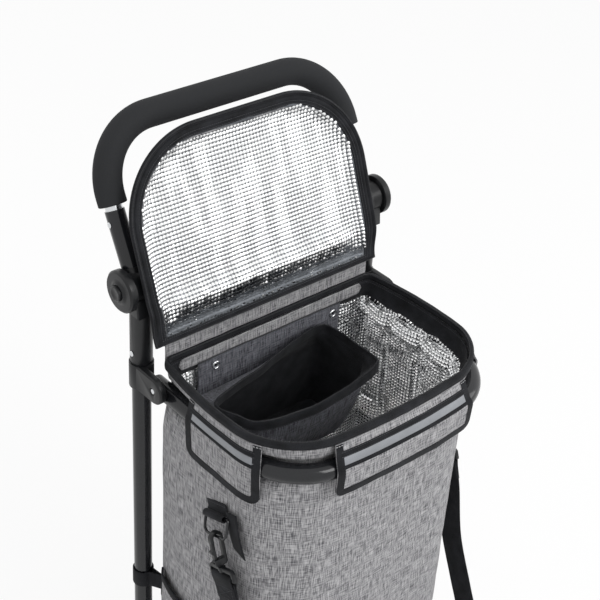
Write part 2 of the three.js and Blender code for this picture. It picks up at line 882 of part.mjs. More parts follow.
// Lid: built standing up at the hinge line, its open side to the front
function lidOutline(inset, depth, lift = 0) {
  const half = lidHalfWidth - inset;
  const baseHalf = lidBaseHalfWidth - inset;
  const top = lidLength - inset;
  const across = lidCornerAcross - inset;
  const along = lidCornerAlong - inset;
  const foot = lidBaseGap + lift;
  const left = [[-baseHalf, foot], [-(baseHalf + half) / 2, lidBaseGap + lidBaseTaper / 2]];
  left.push([-half, lidBaseGap + lidBaseTaper]);
  const steps = 2 * outlineCornerSteps;
  for (let i = 0; i <= steps; i += 1) {
    const angle = (Math.PI / 2) * (i / steps);
    left.push([-half + across - across * Math.cos(angle), top - along + along * Math.sin(angle)]);
  }
  const right = left.slice().reverse().map(([x, z]) => [-x, z]);
  return [...left, ...right].map(([x, z]) => new THREE.Vector3(x, -depth, z));
}

function lidPanel() {
  const bandTop = lidBandDepth - fit;
  const outer = [
    lidOutline(lidInset + lidWall, 0),
    lidOutline(lidInset, lidWall),
    lidOutline(lidInset, lidShoulderDepth),
    lidOutline(0, bandTop),
  ];
  const inner = [
    lidOutline(lidBandWidth, bandTop, lidWall),
    lidOutline(lidInset + lidWall, lidShoulderDepth, lidWall),
    lidOutline(lidInset + 2 * lidWall, lidWall, lidWall),
  ];
  return ringStack([...outer, ...inner]);
}

function lidBand() {
  return ringLoop([
    lidOutline(0, lidBandDepth),
    lidOutline(0, lidDepth),
    lidOutline(lidBandWidth, lidDepth, lidBandWidth),
    lidOutline(lidBandWidth, lidBandDepth, lidBandWidth),
  ]);
}

function lidGusset() {
  const back = -bagBack - fit;
  const top = lidHingeHeight - fit;
  const ends = [-gussetHalfWidth + lidShift, gussetHalfWidth + lidShift];
  return block(...ends, back - gussetThickness, back, rimHeight + fit, top);
}

// Frame tubes
function legTube() {
  const top = hingeHeight - legTopBelowHinge;
  const tube = pipeZ(-legX, 0, axleHeight - legBelowAxle, top, legDiameter, legWall);
  const reach = legRadius + cutOverrun;
  return combine([tube], [rodX(-legX - reach, -legX + reach, 0, axleHeight, axleDiameter + 2 * fit)]);
}

function crossbar() {
  const outer = rodX(-legX, legX, 0, crossbarHeight, crossbarDiameter, tubeSides);
  const bore = rodX(-legX, legX, 0, crossbarHeight, crossbarDiameter - 2 * crossbarWall, tubeSides);
  const cope = legDiameter + 2 * fit;
  const low = crossbarHeight - crossbarDiameter;
  const high = crossbarHeight + crossbarDiameter;
  const copes = [-legX, legX].map((x) => rodZ(x, 0, low, high, cope));
  const ends = [-1, 1].map((side) => {
    const outer = side * (legX + legDiameter);
    return block(side * legX, outer, -legRadius, legRadius, low, high);
  });
  return combine([outer], [bore, ...copes, ...ends]);
}

// The hoop that the bag hangs in: two straight legs and a bowed front
function supportRing() {
  const front = -ringFront + ringFrontBow;
  const straight = ringHalfWidth - ringFrontCornerRadius;
  const between = [-1 / 2, 0, 1 / 2].map((share) => new THREE.Vector3(straight * share, front, ringHeight));
  const corners = [
    new THREE.Vector3(-ringHalfWidth, -ringEndSetback, ringHeight),
    new THREE.Vector3(-ringHalfWidth, front, ringHeight),
    ...between,
    new THREE.Vector3(ringHalfWidth, front, ringHeight),
    new THREE.Vector3(ringHalfWidth, -ringEndSetback, ringHeight),
  ];
  const path = new BentPath(corners, ringFrontCornerRadius, outlineCornerSteps);
  path.points.forEach((point) => {
    const across = point.x / ringHalfWidth;
    point.y -= ringFrontBow * Math.max(0, 1 - across * across);
  });
  return bentTube(path, ringDiameter, legWall);
}

function footFrame() {
  const corners = [
    new THREE.Vector3(-footHalfWidth, -ringEndSetback, footRailHeight),
    new THREE.Vector3(-footHalfWidth, -footFront, footRailHeight),
    new THREE.Vector3(-footHalfWidth, -footFront, footPadHeight),
    new THREE.Vector3(footHalfWidth, -footFront, footPadHeight),
    new THREE.Vector3(footHalfWidth, -footFront, footRailHeight),
    new THREE.Vector3(footHalfWidth, -ringEndSetback, footRailHeight),
  ];
  const path = new BentPath(corners, footBendRadius, outlineCornerSteps - 1);
  return bentTube(path, footTubeDiameter, crossbarWall, bentTubeSides - 2);
}

function footPad() {
  const x = -footPadSpacing / 2;
  const half = footPadLength / 2;
  const pad = rodX(x - half, x + half, -footFront, footPadHeight, footPadDiameter);
  const reach = half + cutOverrun;
  const bore = rodX(x - reach, x + reach, -footFront, footPadHeight, footTubeDiameter + 2 * fit);
  const under = block(
    x - footPadLength,
    x + footPadLength,
    -footFront - footPadDiameter,
    -footFront + footPadDiameter,
    -footPadDiameter,
    0,
  );
  return combine([pad], [bore, under]);
}

// A moulded bracket: a collar round the leg and a plate with a round nose, outside the tube that it holds
function legBracket(middle, height, reach, tubeDiameter, tubeHeight) {
  const radius = bracketCollarDiameter / 2;
  const half = height / 2;
  const collar = rodZ(-legX, 0, middle - half, middle + half, bracketCollarDiameter);
  const plate = new THREE.Shape();
  plate.moveTo(0, middle - half);
  plate.lineTo(0, middle + half);
  plate.lineTo(-reach + half, middle + half);
  plate.absarc(-reach + half, middle, half, Math.PI / 2, (3 * Math.PI) / 2, false);
  plate.closePath();
  const outside = -bracketPlateInner - bracketPlate;
  const nose = plateX(plate, outside, -bracketPlateInner, bracketBevel);
  const webFrom = -bracketPlateInner - bracketPlate / 2;
  const web = block(webFrom, -legX + radius / 2, -radius, 0, middle - half, middle + half);
  const y = -reach + rivetSetFromTip;
  const recessFloor = outside + rivetRecessDepth;
  const recess = rodX(outside - cutOverrun, recessFloor, y, middle, rivetRecessDiameter, tubeSides);
  const hole = rodX(outside, -legX, y, middle, rivetShankDiameter + 2 * fit, tubeSides);
  const leg = rodZ(-legX, 0, middle - height, middle + height, legDiameter + 2 * fit);
  const seat = rod(
    new THREE.Vector3(-bracketPlateInner + fit + tubeDiameter / 2, -ringEndSetback + fit, tubeHeight),
    new THREE.Vector3(-bracketPlateInner + fit + tubeDiameter / 2, -reach - height, tubeHeight),
    tubeDiameter + 2 * fit,
  );
  return combine([collar, nose, web], [recess, hole, leg, seat]);
}

const domeShare = 0.88;

// A rivet along X with a domed head and a shank
function rivetX(x, y, z, shankLength = rivetShankLength) {
  const head = rivetHeadHeight;
  const profile = [
    [head, 0],
    [head * domeShare, rivetDiameter / 5],
    [head / 2, rivetDiameter * domeShare / 2],
    [0, rivetDiameter / 2],
    [0, rivetShankDiameter / 2],
    [-shankLength, rivetShankDiameter / 2],
    [-shankLength, 0],
  ];
  return turnedX(profile.reverse(), y, z, bentTubeSides).translate(-x, 0, 0);
}

function bracketRivet() {
  const recessFace = bracketPlateInner + bracketPlate - rivetRecessDepth + fit;
  return rivetX(recessFace, -bracketReach + rivetSetFromTip, bracketMiddle);
}

function housingRivet() {
  const wall = (housingDiameter - legDiameter) / 2 - fit;
  return rivetX(legX + housingDiameter / 2 + fit, 0, rimHeight - fit, wall);
}

function handleRivet() {
  return rivetX(legX + legRadius + fit, 0, armTubeEnd - handleRivetFromEnd, legWall);
}

// Axle and wheels
const wheelInner = legX + legRadius + wheelGap;
const wheelMiddle = wheelInner + wheelHubWidth / 2;
const axleEnd = wheelInner + wheelHubWidth - wheelHubWall - fit;

function axleRod() {
  return rodX(-axleEnd, axleEnd, 0, axleHeight, axleDiameter);
}

function wheelRim() {
  const rimOuter = tyreSeatDiameter / 2;
  const rimInner = rimOuter - wheelRimDepth;
  const hub = wheelHubDiameter / 2;
  const bore = axleDiameter / 2 + fit;
  const at = (offset) => wheelMiddle + offset;
  const band = turnedX([
    [at(-wheelRimWidth / 2), rimInner],
    [at(-wheelRimWidth / 2), rimOuter],
    [at(wheelRimWidth / 2), rimOuter],
    [at(wheelRimWidth / 2), rimInner],
    [at(-wheelRimWidth / 2), rimInner],
  ], 0, axleHeight, wheelSides);
  const barrel = rodX(-at(-wheelHubWidth / 2), -at(wheelHubWidth / 2), 0, axleHeight, wheelHubDiameter);
  const spokes = [];
  for (let i = 0; i < wheelSpokes; i += 1) {
    const spoke = block(
      -wheelMiddle - wheelWebThickness / 2,
      -wheelMiddle + wheelWebThickness / 2,
      -spokeWidth / 2,
      spokeWidth / 2,
      hub / 2,
      rimInner + wheelRimDepth / 2,
    );
    spoke.rotateX((2 * Math.PI * i) / wheelSpokes);
    spokes.push(spoke.translate(0, 0, axleHeight));
  }
  const hole = rodX(-at(-wheelHubWidth), -axleEnd - fit, 0, axleHeight, 2 * bore, tubeSides);
  return combine([band, barrel, ...spokes], [hole]);
}

function tyre() {
  const outer = wheelDiameter / 2;
  const inner = tyreSeatDiameter / 2 + fit;
  const half = tyreWidth / 2;
  const shoulder = (outer - inner) / 2;
  const at = (offset) => wheelMiddle + offset;
  return turnedX([
    [at(-half), inner],
    [at(-half), inner + shoulder],
    [at(-half + shoulder / 2), outer - shoulder / 4],
    [at(-half / 3), outer],
    [at(half / 3), outer],
    [at(half - shoulder / 2), outer - shoulder / 4],
    [at(half), inner + shoulder],
    [at(half), inner],
    [at(-half), inner],
  ], 0, axleHeight, wheelSides);
}

// Handle hinge: the lower housing, with its socket for the leg and the inner half of the knuckle
const knuckleRadius = knuckleDiameter / 2;
const housingRadius = housingDiameter / 2;
const discFrom = legX + housingRadius + hingeDiscGap;
const discTo = discFrom + hingeDiscThickness;
const collarTo = discTo + buttonCollarHeight;
const buttonTo = collarTo + buttonProud;
const buttonFrom = collarTo - buttonSeatDepth;
const wellFloor = buttonFrom - buttonTravel - fit;
const pivotEnd = wellFloor - pivotFloor;

function neckShape() {
  const bottom = hingeHeight - neckDepthBelowHinge;
  const spread = Math.PI / 8;
  const shape = new THREE.Shape();
  shape.moveTo(-housingRadius, bottom);
  shape.lineTo(housingRadius, bottom);
  shape.absarc(hingeSetback, hingeHeight, knuckleRadius, -spread, Math.PI + spread, false);
  shape.closePath();
  return shape;
}

function hingeBase() {
  const bottom = rimHeight - housingBottomBelowRim;
  const neckFloor = hingeHeight - neckDepthBelowHinge;
  const outside = -legX - housingRadius;
  const inside = -legX + housingRadius;
  const socket = rodZ(-legX, 0, bottom, neckFloor + knuckleBevel, housingDiameter);
  const neck = plateX(neckShape(), outside, inside, knuckleBevel);
  const armSpace = rodX(
    outside - cutOverrun,
    -legX + fit / 2,
    hingeSetback,
    hingeHeight,
    knuckleDiameter + 2 * fit,
    hingeSides,
  );
  const legTop = hingeHeight - legTopBelowHinge + fit;
  const legSpace = rodZ(-legX, 0, bottom - cutOverrun, legTop, legDiameter + 2 * fit);
  const rivetHole = rivetShankDiameter + 2 * fit;
  const rivet = rodX(outside - cutOverrun, -legX, 0, rimHeight - fit, rivetHole, bentTubeSides);
  const armWay = rodZ(-legX, 0, 0, neckDepthBelowHinge, legDiameter + 2 * fit);
  const knuckleKept = rodX(-legX + fit / 2, inside, 0, 0, knuckleDiameter, hingeSides);
  const foldedArm = combine([armWay], [knuckleKept]).rotateX(-handleTilt - handleFold);
  foldedArm.translate(0, hingeSetback, hingeHeight);
  const knuckle = combine([socket, neck], [armSpace, legSpace, rivet, foldedArm]);
  const pivot = rodX(-pivotEnd, inside - knuckleBevel, hingeSetback, hingeHeight, pivotDiameter, tubeSides);
  return combine([knuckle, pivot]);
}

// The upper half of the hinge, drawn in the handle's own frame: the axis at the origin, the arm along Z
function hingeArm() {
  const disc = turnedX([
    [discFrom, 0],
    [discFrom, knuckleRadius],
    [discFrom, hingeDiscDiameter / 2 - hingeDiscEdge],
    [discFrom + hingeDiscEdge / 2, hingeDiscDiameter / 2],
    [discTo - hingeDiscEdge, hingeDiscDiameter / 2],
    [discTo, hingeDiscDiameter / 2 - hingeDiscEdge],
    [discTo - buttonCollarHeight / 4, buttonCollarDiameter / 2 + hingeDiscEdge],
    [discTo, buttonCollarDiameter / 2],
    [collarTo, buttonCollarDiameter / 2 - buttonCollarHeight],
    [collarTo, 0],
  ], 0, 0, hingeSides);
  const knuckleTo = -discFrom - hingeDiscEdge;
  const knuckle = rodX(-legX - fit / 2, knuckleTo, 0, 0, knuckleDiameter - 2 * fit, hingeSides);
  const collar = rodZ(-legX, 0, armCollarBack, armTubeStart - fit, legDiameter);
  const spigot = rodZ(-legX, 0, armTubeStart - cutOverrun, spigotEnd, legDiameter - 2 * legWall - 2 * fit);
  const baseSpace = rodX(-legX - fit / 2, -legX + legDiameter, 0, 0, knuckleDiameter + 2 * fit, hingeSides);
  const well = rodX(-collarTo - cutOverrun, -wellFloor, 0, 0, buttonDiameter + 2 * fit);
  const pivot = rodX(-pivotEnd - fit, -legX + legDiameter, 0, 0, pivotDiameter + 2 * fit, tubeSides);
  return combine([disc, knuckle, collar, spigot], [baseSpace, well, pivot]);
}

const buttonLandShare = 0.72;

function lockButton() {
  const radius = buttonDiameter / 2;
  return turnedX([
    [buttonFrom, 0],
    [buttonFrom, radius],
    [buttonTo - buttonDish, radius],
    [buttonTo, radius - buttonDish],
    [buttonTo, radius * buttonLandShare],
    [buttonTo - buttonDish, radius / 2],
    [buttonTo - buttonDish, 0],
  ], 0, 0);
}

// Handle bow, in the handle's own frame
function armTube() {
  const tube = pipeZ(-legX, 0, armTubeStart, armTubeEnd, legDiameter, legWall);
  const hole = rodX(
    -legX - legDiameter,
    -legX,
    0,
    armTubeEnd - handleRivetFromEnd,
    rivetShankDiameter + 2 * fit,
    bentTubeSides,
  );
  return combine([tube], [hole]);
}

function bowPath(start) {
  const corners = [
    new THREE.Vector3(-legX, 0, start),
    new THREE.Vector3(-legX, 0, handleReach),
    new THREE.Vector3(legX, 0, handleReach),
    new THREE.Vector3(legX, 0, start),
  ];
  return new BentPath(corners, gripCornerRadius, outlineCornerSteps + 2);
}

function gripTube() {
  return bentTube(bowPath(gripTubeStart), gripTubeDiameter, gripTubeWall);
}

function foamGrip() {
  const bore = (gripTubeDiameter + 2 * fit) / Math.cos(Math.PI / bentTubeSides);
  return bentTube(bowPath(foamStart), foamDiameter, (foamDiameter - bore) / 2, tubeSides, bentTubeSides);
}

// Zip slider at the left end of the lid's strip, and the pull that hangs from it
const pullAxisY = -bagBack + sliderDepth + pullEar;
const pullAxisZ = rimHeight + lidHingeRise / 2;

function zipSlider() {
  const half = sliderLength / 2;
  const body = block(
    -sliderFromMiddle - half,
    -sliderFromMiddle + half,
    -bagBack,
    -bagBack + sliderDepth,
    pullAxisZ - sliderHeight / 2,
    pullAxisZ + sliderHeight / 2,
  );
  const inner = pullWidth / 2 + fit;
  const ears = [-1, 1].map((side) => block(
    -sliderFromMiddle + side * inner,
    -sliderFromMiddle + side * (inner + pullEarThickness),
    -bagBack + sliderDepth / 2,
    pullAxisY + pullPinDiameter,
    pullAxisZ - pullPinDiameter,
    pullAxisZ + pullPinDiameter,
  ));
  const reach = inner + pullEarThickness / 2;
  const pin = rodX(
    -sliderFromMiddle - reach,
    -sliderFromMiddle + reach,
    pullAxisY,
    pullAxisZ,
    pullPinDiameter,
    bentTubeSides,
  );
  return combine([body, pin, ...ears]);
}

// The pull is a flat loop with a barrel round the slider's pin
function zipPull() {
  const half = pullWidth / 2;
  const barrel = pullHoleDiameter + 2 * pullThickness;
  const drawLoop = (path, radius, top) => {
    path.moveTo(-radius, top);
    path.lineTo(-radius, -pullLength + half);
    path.absarc(0, -pullLength + half, radius, Math.PI, 2 * Math.PI, false);
    path.lineTo(radius, top);
    path.closePath();
    return path;
  };
  const shape = drawLoop(new THREE.Shape(), half, -pullHoleDiameter / 2 - pullThickness / 4);
  shape.holes.push(drawLoop(new THREE.Path(), half - pullRim, -barrel));
  const loop = plateX(shape, -pullThickness / 2, pullThickness / 2).rotateZ(Math.PI / 2);
  const eye = rodX(-half, half, 0, 0, barrel, tubeSides);
  const hole = rodX(-pullWidth, pullWidth, 0, 0, pullHoleDiameter, tubeSides);
  return combine([loop, eye], [hole]).translate(-sliderFromMiddle, pullAxisY, pullAxisZ);
}

// The hooks, rings and tabs of the shoulder strap hang in a chain from the bag's sides. They are drawn in
// a frame with its origin at the middle of the tab's tube and its Z axis along the chain.
const tabY = -tabSetback;
const tabZ = rimHeight - tabBelowRim;
const tabSide = planPoints(bagPlan, bagBodyInset, tabZ).slice(0, outlineHalf);
const [tabWall] = outlineRun(tabSide, 'y', tabY, tabY, 0);
const tabX = tabWall.x - tabStand;
const chainX = tabX - ringDrop * Math.sin(ringSwing);
const ringTop = ringBar / 2 + fit - tabBoreDiameter / 2;
const hookArc = ringTop - ringDrop * Math.cos(ringSwing) - hookEyeRadius + ringBar / 2 + hookPlay;
const hookBottom = hookArc - hookLength;
const swivelTop = hookBottom - hookStemGap;
const swivelBottom = swivelTop - swivelHeight;
const chainFrame = new THREE.Matrix4().makeRotationX(-hookLean).setPosition(0, tabY, tabZ);

function onChain(geometry) {
  return geometry.clone().applyMatrix4(chainFrame);
}

// The right side's chain mirrors the left one about the bag's own middle
function acrossBag(geometry) {
  return mirrored(geometry).translate(2 * bagShift, 0, 0);
}

function strapTab() {
  const tube = rod(
    new THREE.Vector3(tabX, -webbingWidth / 2, 0),
    new THREE.Vector3(tabX, webbingWidth / 2, 0),
    tabTubeDiameter,
    tubeSides,
  );
  const bore = rod(
    new THREE.Vector3(tabX, -webbingWidth, 0),
    new THREE.Vector3(tabX, webbingWidth, 0),
    tabBoreDiameter,
    tubeSides,
  );
  const rowsAt = (stand) => [0, tabSewnHeight].map((lift) => {
    const outline = planPoints(bagPlan, bagBodyInset - stand, tabZ + lift);
    const half = webbingWidth / 2;
    return outlineRun(outline.slice(0, outlineHalf), 'y', tabY + half, tabY - half, 4);
  });
  const patch = sheetSolid(rowsAt(fit + webbingThickness), rowsAt(fit));
  return combine([onChain(tube), patch], [onChain(bore)]);
}

// A hoop of round bar with four round corners, hung in the tab's tube
function strapRing() {
  const half = ringInnerWidth / 2 + ringBar / 2;
  const corners = [
    [1, 0, ringTopCorner, 0],
    [-1, 0, ringTopCorner, Math.PI / 2],
    [-1, 1, ringLowCorner, Math.PI],
    [1, 1, ringLowCorner, (3 * Math.PI) / 2],
  ];
  const rings = [];
  for (const [side, low, radius, from] of corners) {
    const y = side * (half - radius);
    const z = low ? -ringDrop + radius : -radius;
    for (let i = 0; i <= ringCornerSteps; i += 1) {
      const turn = from + (Math.PI / 2) * (i / ringCornerSteps);
      rings.push(roundOutline(ringBar, bentTubeSides - 2).map((point) => {
        const reach = radius + point.x;
        return new THREE.Vector3(point.y, y + reach * Math.cos(turn), z + reach * Math.sin(turn));
      }));
    }
  }
  return ringLoop(rings).rotateY(ringSwing).translate(tabX, 0, ringTop);
}

// A flat shape drawn in X and Z and given a thickness along Y
function plateY(shape, thickness, bevel = 0) {
  return plateX(shape, -thickness / 2, thickness / 2, bevel).rotateZ(-Math.PI / 2);
}

const gatePivotX = -hookEyeRadius - gateThickness / 2;
const gatePivotZ = -hookLength + gatePivotLift;
const gateInner = -hookEyeRadius - fit;

function hookBody() {
  const outer = hookEyeRadius + hookBar;
  const bottom = -hookLength;
  const top = bottom + hookBaseHeight;
  const shape = new THREE.Shape();
  shape.moveTo(-outer + hookStemGap, bottom);
  shape.lineTo(outer - hookStemGap, bottom);
  shape.lineTo(outer, bottom + hookStemGap);
  shape.lineTo(outer, 0);
  shape.absarc(0, 0, outer, 0, Math.PI, false);
  shape.lineTo(-outer, -hookNose);
  shape.lineTo(-hookEyeRadius, -hookNose);
  shape.absarc(0, 0, hookEyeRadius, Math.PI, 0, true);
  shape.lineTo(hookEyeRadius, top);
  shape.lineTo(-outer, top);
  shape.lineTo(-outer, bottom + hookStemGap);
  shape.closePath();
  const plate = plateY(shape, hookThickness, 1);
  const slot = block(
    -outer - cutOverrun,
    -hookEyeRadius / 2,
    -gateTongue / 2 - fit,
    gateTongue / 2 + fit,
    gatePivotZ - gateBarrelDiameter / 2 - 2 * fit,
    top + cutOverrun,
  );
  const pin = rod(
    new THREE.Vector3(gatePivotX, -gateTongue, gatePivotZ),
    new THREE.Vector3(gatePivotX, gateTongue, gatePivotZ),
    gatePinDiameter,
    bentTubeSides,
  );
  const headTop = swivelTop - swivelBar - fit - hookArc;
  const stem = rodZ(0, 0, headTop - cutOverrun, bottom + cutOverrun, hookStemDiameter, tubeSides);
  const head = rodZ(0, 0, headTop - hookHeadHeight, headTop, hookHeadDiameter, tubeSides);
  const slotted = combine([plate], [slot]);
  return combine([slotted, pin, stem, head]).translate(chainX, 0, hookArc);
}

function hookGate() {
  const outer = gateInner - gateThickness;
  const low = gatePivotZ + gateThickness;
  const high = -hookNose - 2 * fit;
  const thumb = (low + high) / 2;
  const shape = new THREE.Shape();
  shape.moveTo(gateInner, low);
  shape.lineTo(gateInner, high);
  shape.lineTo(outer, high);
  shape.lineTo(outer, thumb + gateThumb);
  shape.lineTo(outer - gateThumb, thumb + gateThumb / 2);
  shape.lineTo(outer - gateThumb, thumb - gateThumb / 2);
  shape.lineTo(outer, thumb - 2 * gateThumb);
  shape.lineTo(outer, low);
  shape.closePath();
  const bar = plateY(shape, gateWidth);
  const half = gateTongue / 2;
  const tongue = block(outer, gateInner, -half, half, gatePivotZ, low + cutOverrun);
  const barrel = rod(
    new THREE.Vector3(gatePivotX, -half, gatePivotZ),
    new THREE.Vector3(gatePivotX, half, gatePivotZ),
    gateBarrelDiameter,
    tubeSides,
  );
  const hole = rod(
    new THREE.Vector3(gatePivotX, -gateTongue, gatePivotZ),
    new THREE.Vector3(gatePivotX, gateTongue, gatePivotZ),
    gatePinDiameter + 2 * fit,
    bentTubeSides,
  );
  return combine([bar, tongue, barrel], [hole]).translate(chainX, 0, hookArc);
}

function hookSwivel() {
  const half = swivelWidth / 2;
  const shape = new THREE.Shape();
  shape.moveTo(-half + swivelEnd, swivelTop);
  shape.lineTo(half - swivelEnd, swivelTop);
  shape.lineTo(half, swivelTop - swivelEnd);
  shape.lineTo(half, swivelBottom);
  shape.lineTo(-half, swivelBottom);
  shape.lineTo(-half, swivelTop - swivelEnd);
  shape.closePath();
  const frame = plateX(shape, chainX - swivelThickness / 2, chainX + swivelThickness / 2, 1);
  const boss = rodZ(chainX, 0, swivelTop - swivelBar, swivelTop, swivelBossDiameter, tubeSides);
  const window = block(
    chainX - swivelThickness,
    chainX + swivelThickness,
    -half + swivelEnd,
    half - swivelEnd,
    swivelBottom + swivelBar,
    swivelTop - swivelBar,
  );
  const holeFrom = swivelBottom + swivelBar;
  const hole = rodZ(chainX, 0, holeFrom, swivelTop + cutOverrun, hookStemDiameter + 2 * fit, tubeSides);
  return combine([frame, boss], [window, hole]);
}

// The end of the strap goes round the swivel's lower bar and is sewn back on itself
function strapEnd() {
  const inner = swivelThickness / 2 + fit;
  const outer = inner + webbingThickness;
  const half = webbingWidth / 2;
  const barTop = swivelBottom + swivelBar + fit;
  const low = swivelBottom - fit - strapLoopTail;
  const shell = block(chainX - outer, chainX + outer, -half, half, low, barTop + webbingThickness);
  const floor = swivelBottom - fit;
  const space = block(chainX - inner, chainX + inner, -webbingWidth, webbingWidth, floor, barTop);
  return onChain(combine([shell], [space]));
}

// Half of the strap's route: how far out from the bag's middle, how far forward and how high, as shares
// of the way from its lowest point to where it leaves the hook
const strapRouteShares = [
  [1.003, 0.24, 0.6],
  [1, 0.5, 0.35],
  [0.985, 0.74, 0.155],
  [0.93, 0.9, 0.05],
  [0.8, 0.975, 0.012],
  [0.5, 1, 0],
  [0.2, 1, 0],
];
const strapSteps = 40;

function shoulderStrap() {
  const low = swivelBottom - strapLoopTail;
  const top = new THREE.Vector3(chainX, 0, low + cutOverrun).applyMatrix4(chainFrame);
  const lead = new THREE.Vector3(chainX, 0, low - strapLead).applyMatrix4(chainFrame);
  const left = strapRouteShares.map(([across, forward, up]) => new THREE.Vector3(
    bagShift + (top.x - bagShift) * across,
    top.y + (-strapFront - top.y) * forward,
    strapBottomHeight + (top.z - strapBottomHeight) * up,
  ));
  const route = [top, lead, ...left];
  const right = route.slice().reverse().map((p) => new THREE.Vector3(2 * bagShift - p.x, p.y, p.z));
  const curve = new THREE.CatmullRomCurve3([...route, ...right]);
  const rings = [];
  for (let i = 0; i <= strapSteps; i += 1) {
    const point = curve.getPoint(i / strapSteps);
    const along = curve.getTangent(i / strapSteps);
    const wide = new THREE.Vector3(0, 1, 0).addScaledVector(along, -along.y).normalize();
    const thick = new THREE.Vector3().crossVectors(along, wide);
    const corners = [[-1, -1], [1, -1], [1, 1], [-1, 1]];
    rings.push(corners.map(([w, t]) => point.clone()
      .addScaledVector(wide, (w * webbingWidth) / 2)
      .addScaledVector(thick, (t * webbingThickness) / 2)));
  }
  const end = strapEnd();
  return combine([ringStack(rings), end, acrossBag(end)]);
}

// The handle and the lid stand in frames of their own, leant back from their hinge lines
const handleFrame = new THREE.Matrix4().makeRotationX(-handleTilt).setPosition(0, hingeSetback, hingeHeight);
const lidFrame = new THREE.Matrix4().makeRotationX(-lidTilt).setPosition(lidShift, lidHingeY, lidHingeHeight);

function onHandle(geometry) {
  return geometry.clone().applyMatrix4(handleFrame);
}

function onLid(geometry) {
  return geometry.clone().applyMatrix4(lidFrame);
}

// Left and right copies of a piece, named for their sides
function bothSides(name, geometry, finish, across = mirrored) {
  return [[`${name}_left`, geometry, finish], [`${name}_right`, across(geometry), finish]];
}

const ringBracket = legBracket(bracketMiddle, bracketHeight, bracketReach, ringDiameter, ringHeight);
const footBracket = legBracket(
  footRailHeight,
  footBracketHeight,
  footBracketReach,
  footTubeDiameter,
  footRailHeight,
);

const frontFlap = flap('x', -flapFrontHalfWidth, flapFrontHalfWidth, flapFrontBottomBelowRim, 2, -1);

const pieces = [
  ...bothSides('leg_tube', legTube(), blackPaint),
  ['lower_crossbar', crossbar(), blackPaint],
  ['support_ring', supportRing(), blackPaint],
  ...bothSides('ring_bracket', ringBracket, blackPlastic),
  ...bothSides('foot_bracket', footBracket, blackPlastic),
  ['foot_frame', footFrame(), blackPaint],
  ...bothSides('rubber_foot', footPad(), blackRubber),
  ...bothSides('hinge_base', hingeBase(), blackPlastic),
  ...bothSides('housing_rivet', housingRivet(), brightSteel),
  ...bothSides('bracket_rivet', bracketRivet(), brightSteel),
  ['axle', axleRod(), brightSteel],
  ...bothSides('wheel_rim', wheelRim(), blackPlastic),
  ...bothSides('tyre', tyre(), blackRubber),
  ...bothSides('hinge_arm', onHandle(hingeArm()), blackPlastic),
  ...bothSides('lock_button', onHandle(lockButton()), blackPlastic),
  ...bothSides('handle_tube', onHandle(armTube()), blackPaint),
  ...bothSides('handle_rivet', onHandle(handleRivet()), brightSteel),
  ['grip_tube', onHandle(gripTube()), brightSteel],
  ['foam_grip', onHandle(foamGrip()), blackFoam],
  ['bag_body', bagBody(), greyFabric],
  ['bag_lining', bagLining(), silverFoil],
  ['rim_tape', rimTape(), blackTape],
  ['flap_left', flap('y', -flapSideFrom, -flapSideTo, flapBottomBelowRim, 1, outlineHalf), greyFabric],
  ['flap_front', frontFlap, greyFabric],
  ['flap_right', flap('y', -flapSideTo, -flapSideFrom, flapBottomBelowRim, outlineHalf + 1), greyFabric],
  ['side_pocket', sidePocket(), greyFabric],
  ['stud_panel', studPanel(), darkFabric],
  ['press_stud_left', pressStud(-1), brightSteel],
  ['press_stud_right', pressStud(1), brightSteel],
  ['inner_pouch', innerPouch(), darkFabric],
  ['leg_band', legBand(), blackTape],
  ['lid_gusset', lidGusset(), greyFabric],
  ['lid_panel', onLid(lidPanel()), greyFabric],
  ['lid_band', onLid(lidBand()), blackTape],
  ['zip_slider', zipSlider(), blackPaint],
  ['zip_pull', zipPull(), blackPaint],
  ...bothSides('strap_tab', strapTab(), blackTape, acrossBag),
  ...bothSides('strap_ring', onChain(strapRing()), blackPaint, acrossBag),
  ...bothSides('hook_body', onChain(hookBody()), blackPaint, acrossBag),
  ...bothSides('hook_gate', onChain(hookGate()), blackPaint, acrossBag),
  ...bothSides('swivel', onChain(hookSwivel()), blackPaint, acrossBag),
  ['shoulder_strap', shoulderStrap(), blackTape],
];

const bounds = new THREE.Box3();
for (const [, geometry] of pieces) {
  geometry.computeBoundingBox();
  bounds.union(geometry.boundingBox);
}
const middle = bounds.getCenter(new THREE.Vector3());

const trolley = new THREE.Group();
trolley.name = 'shopping_trolley';
for (const [name, geometry, finish] of pieces) {
  const closed = mergeVertices(facingOut(geometry).translate(0, -middle.y, -bounds.min.z));
  closed.computeVertexNormals();
  const mesh = new THREE.Mesh(closed, finish);
  mesh.name = name;
  trolley.add(mesh);
}

export default trolley;
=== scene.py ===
"""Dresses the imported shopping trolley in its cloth, foil, webbing, foam and metal finishes.

The lengths in this file are in millimetres and in the part's own layout: the legs stand at Y = 0, the
front is -Y and Z is the height above the floor. at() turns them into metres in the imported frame.
"""

import json
import math

import bmesh
import bpy
import numpy as np
from bpy.props import FloatProperty, FloatVectorProperty, PointerProperty
from mathutils import Matrix, Vector, noise
from mathutils.bvhtree import BVHTree

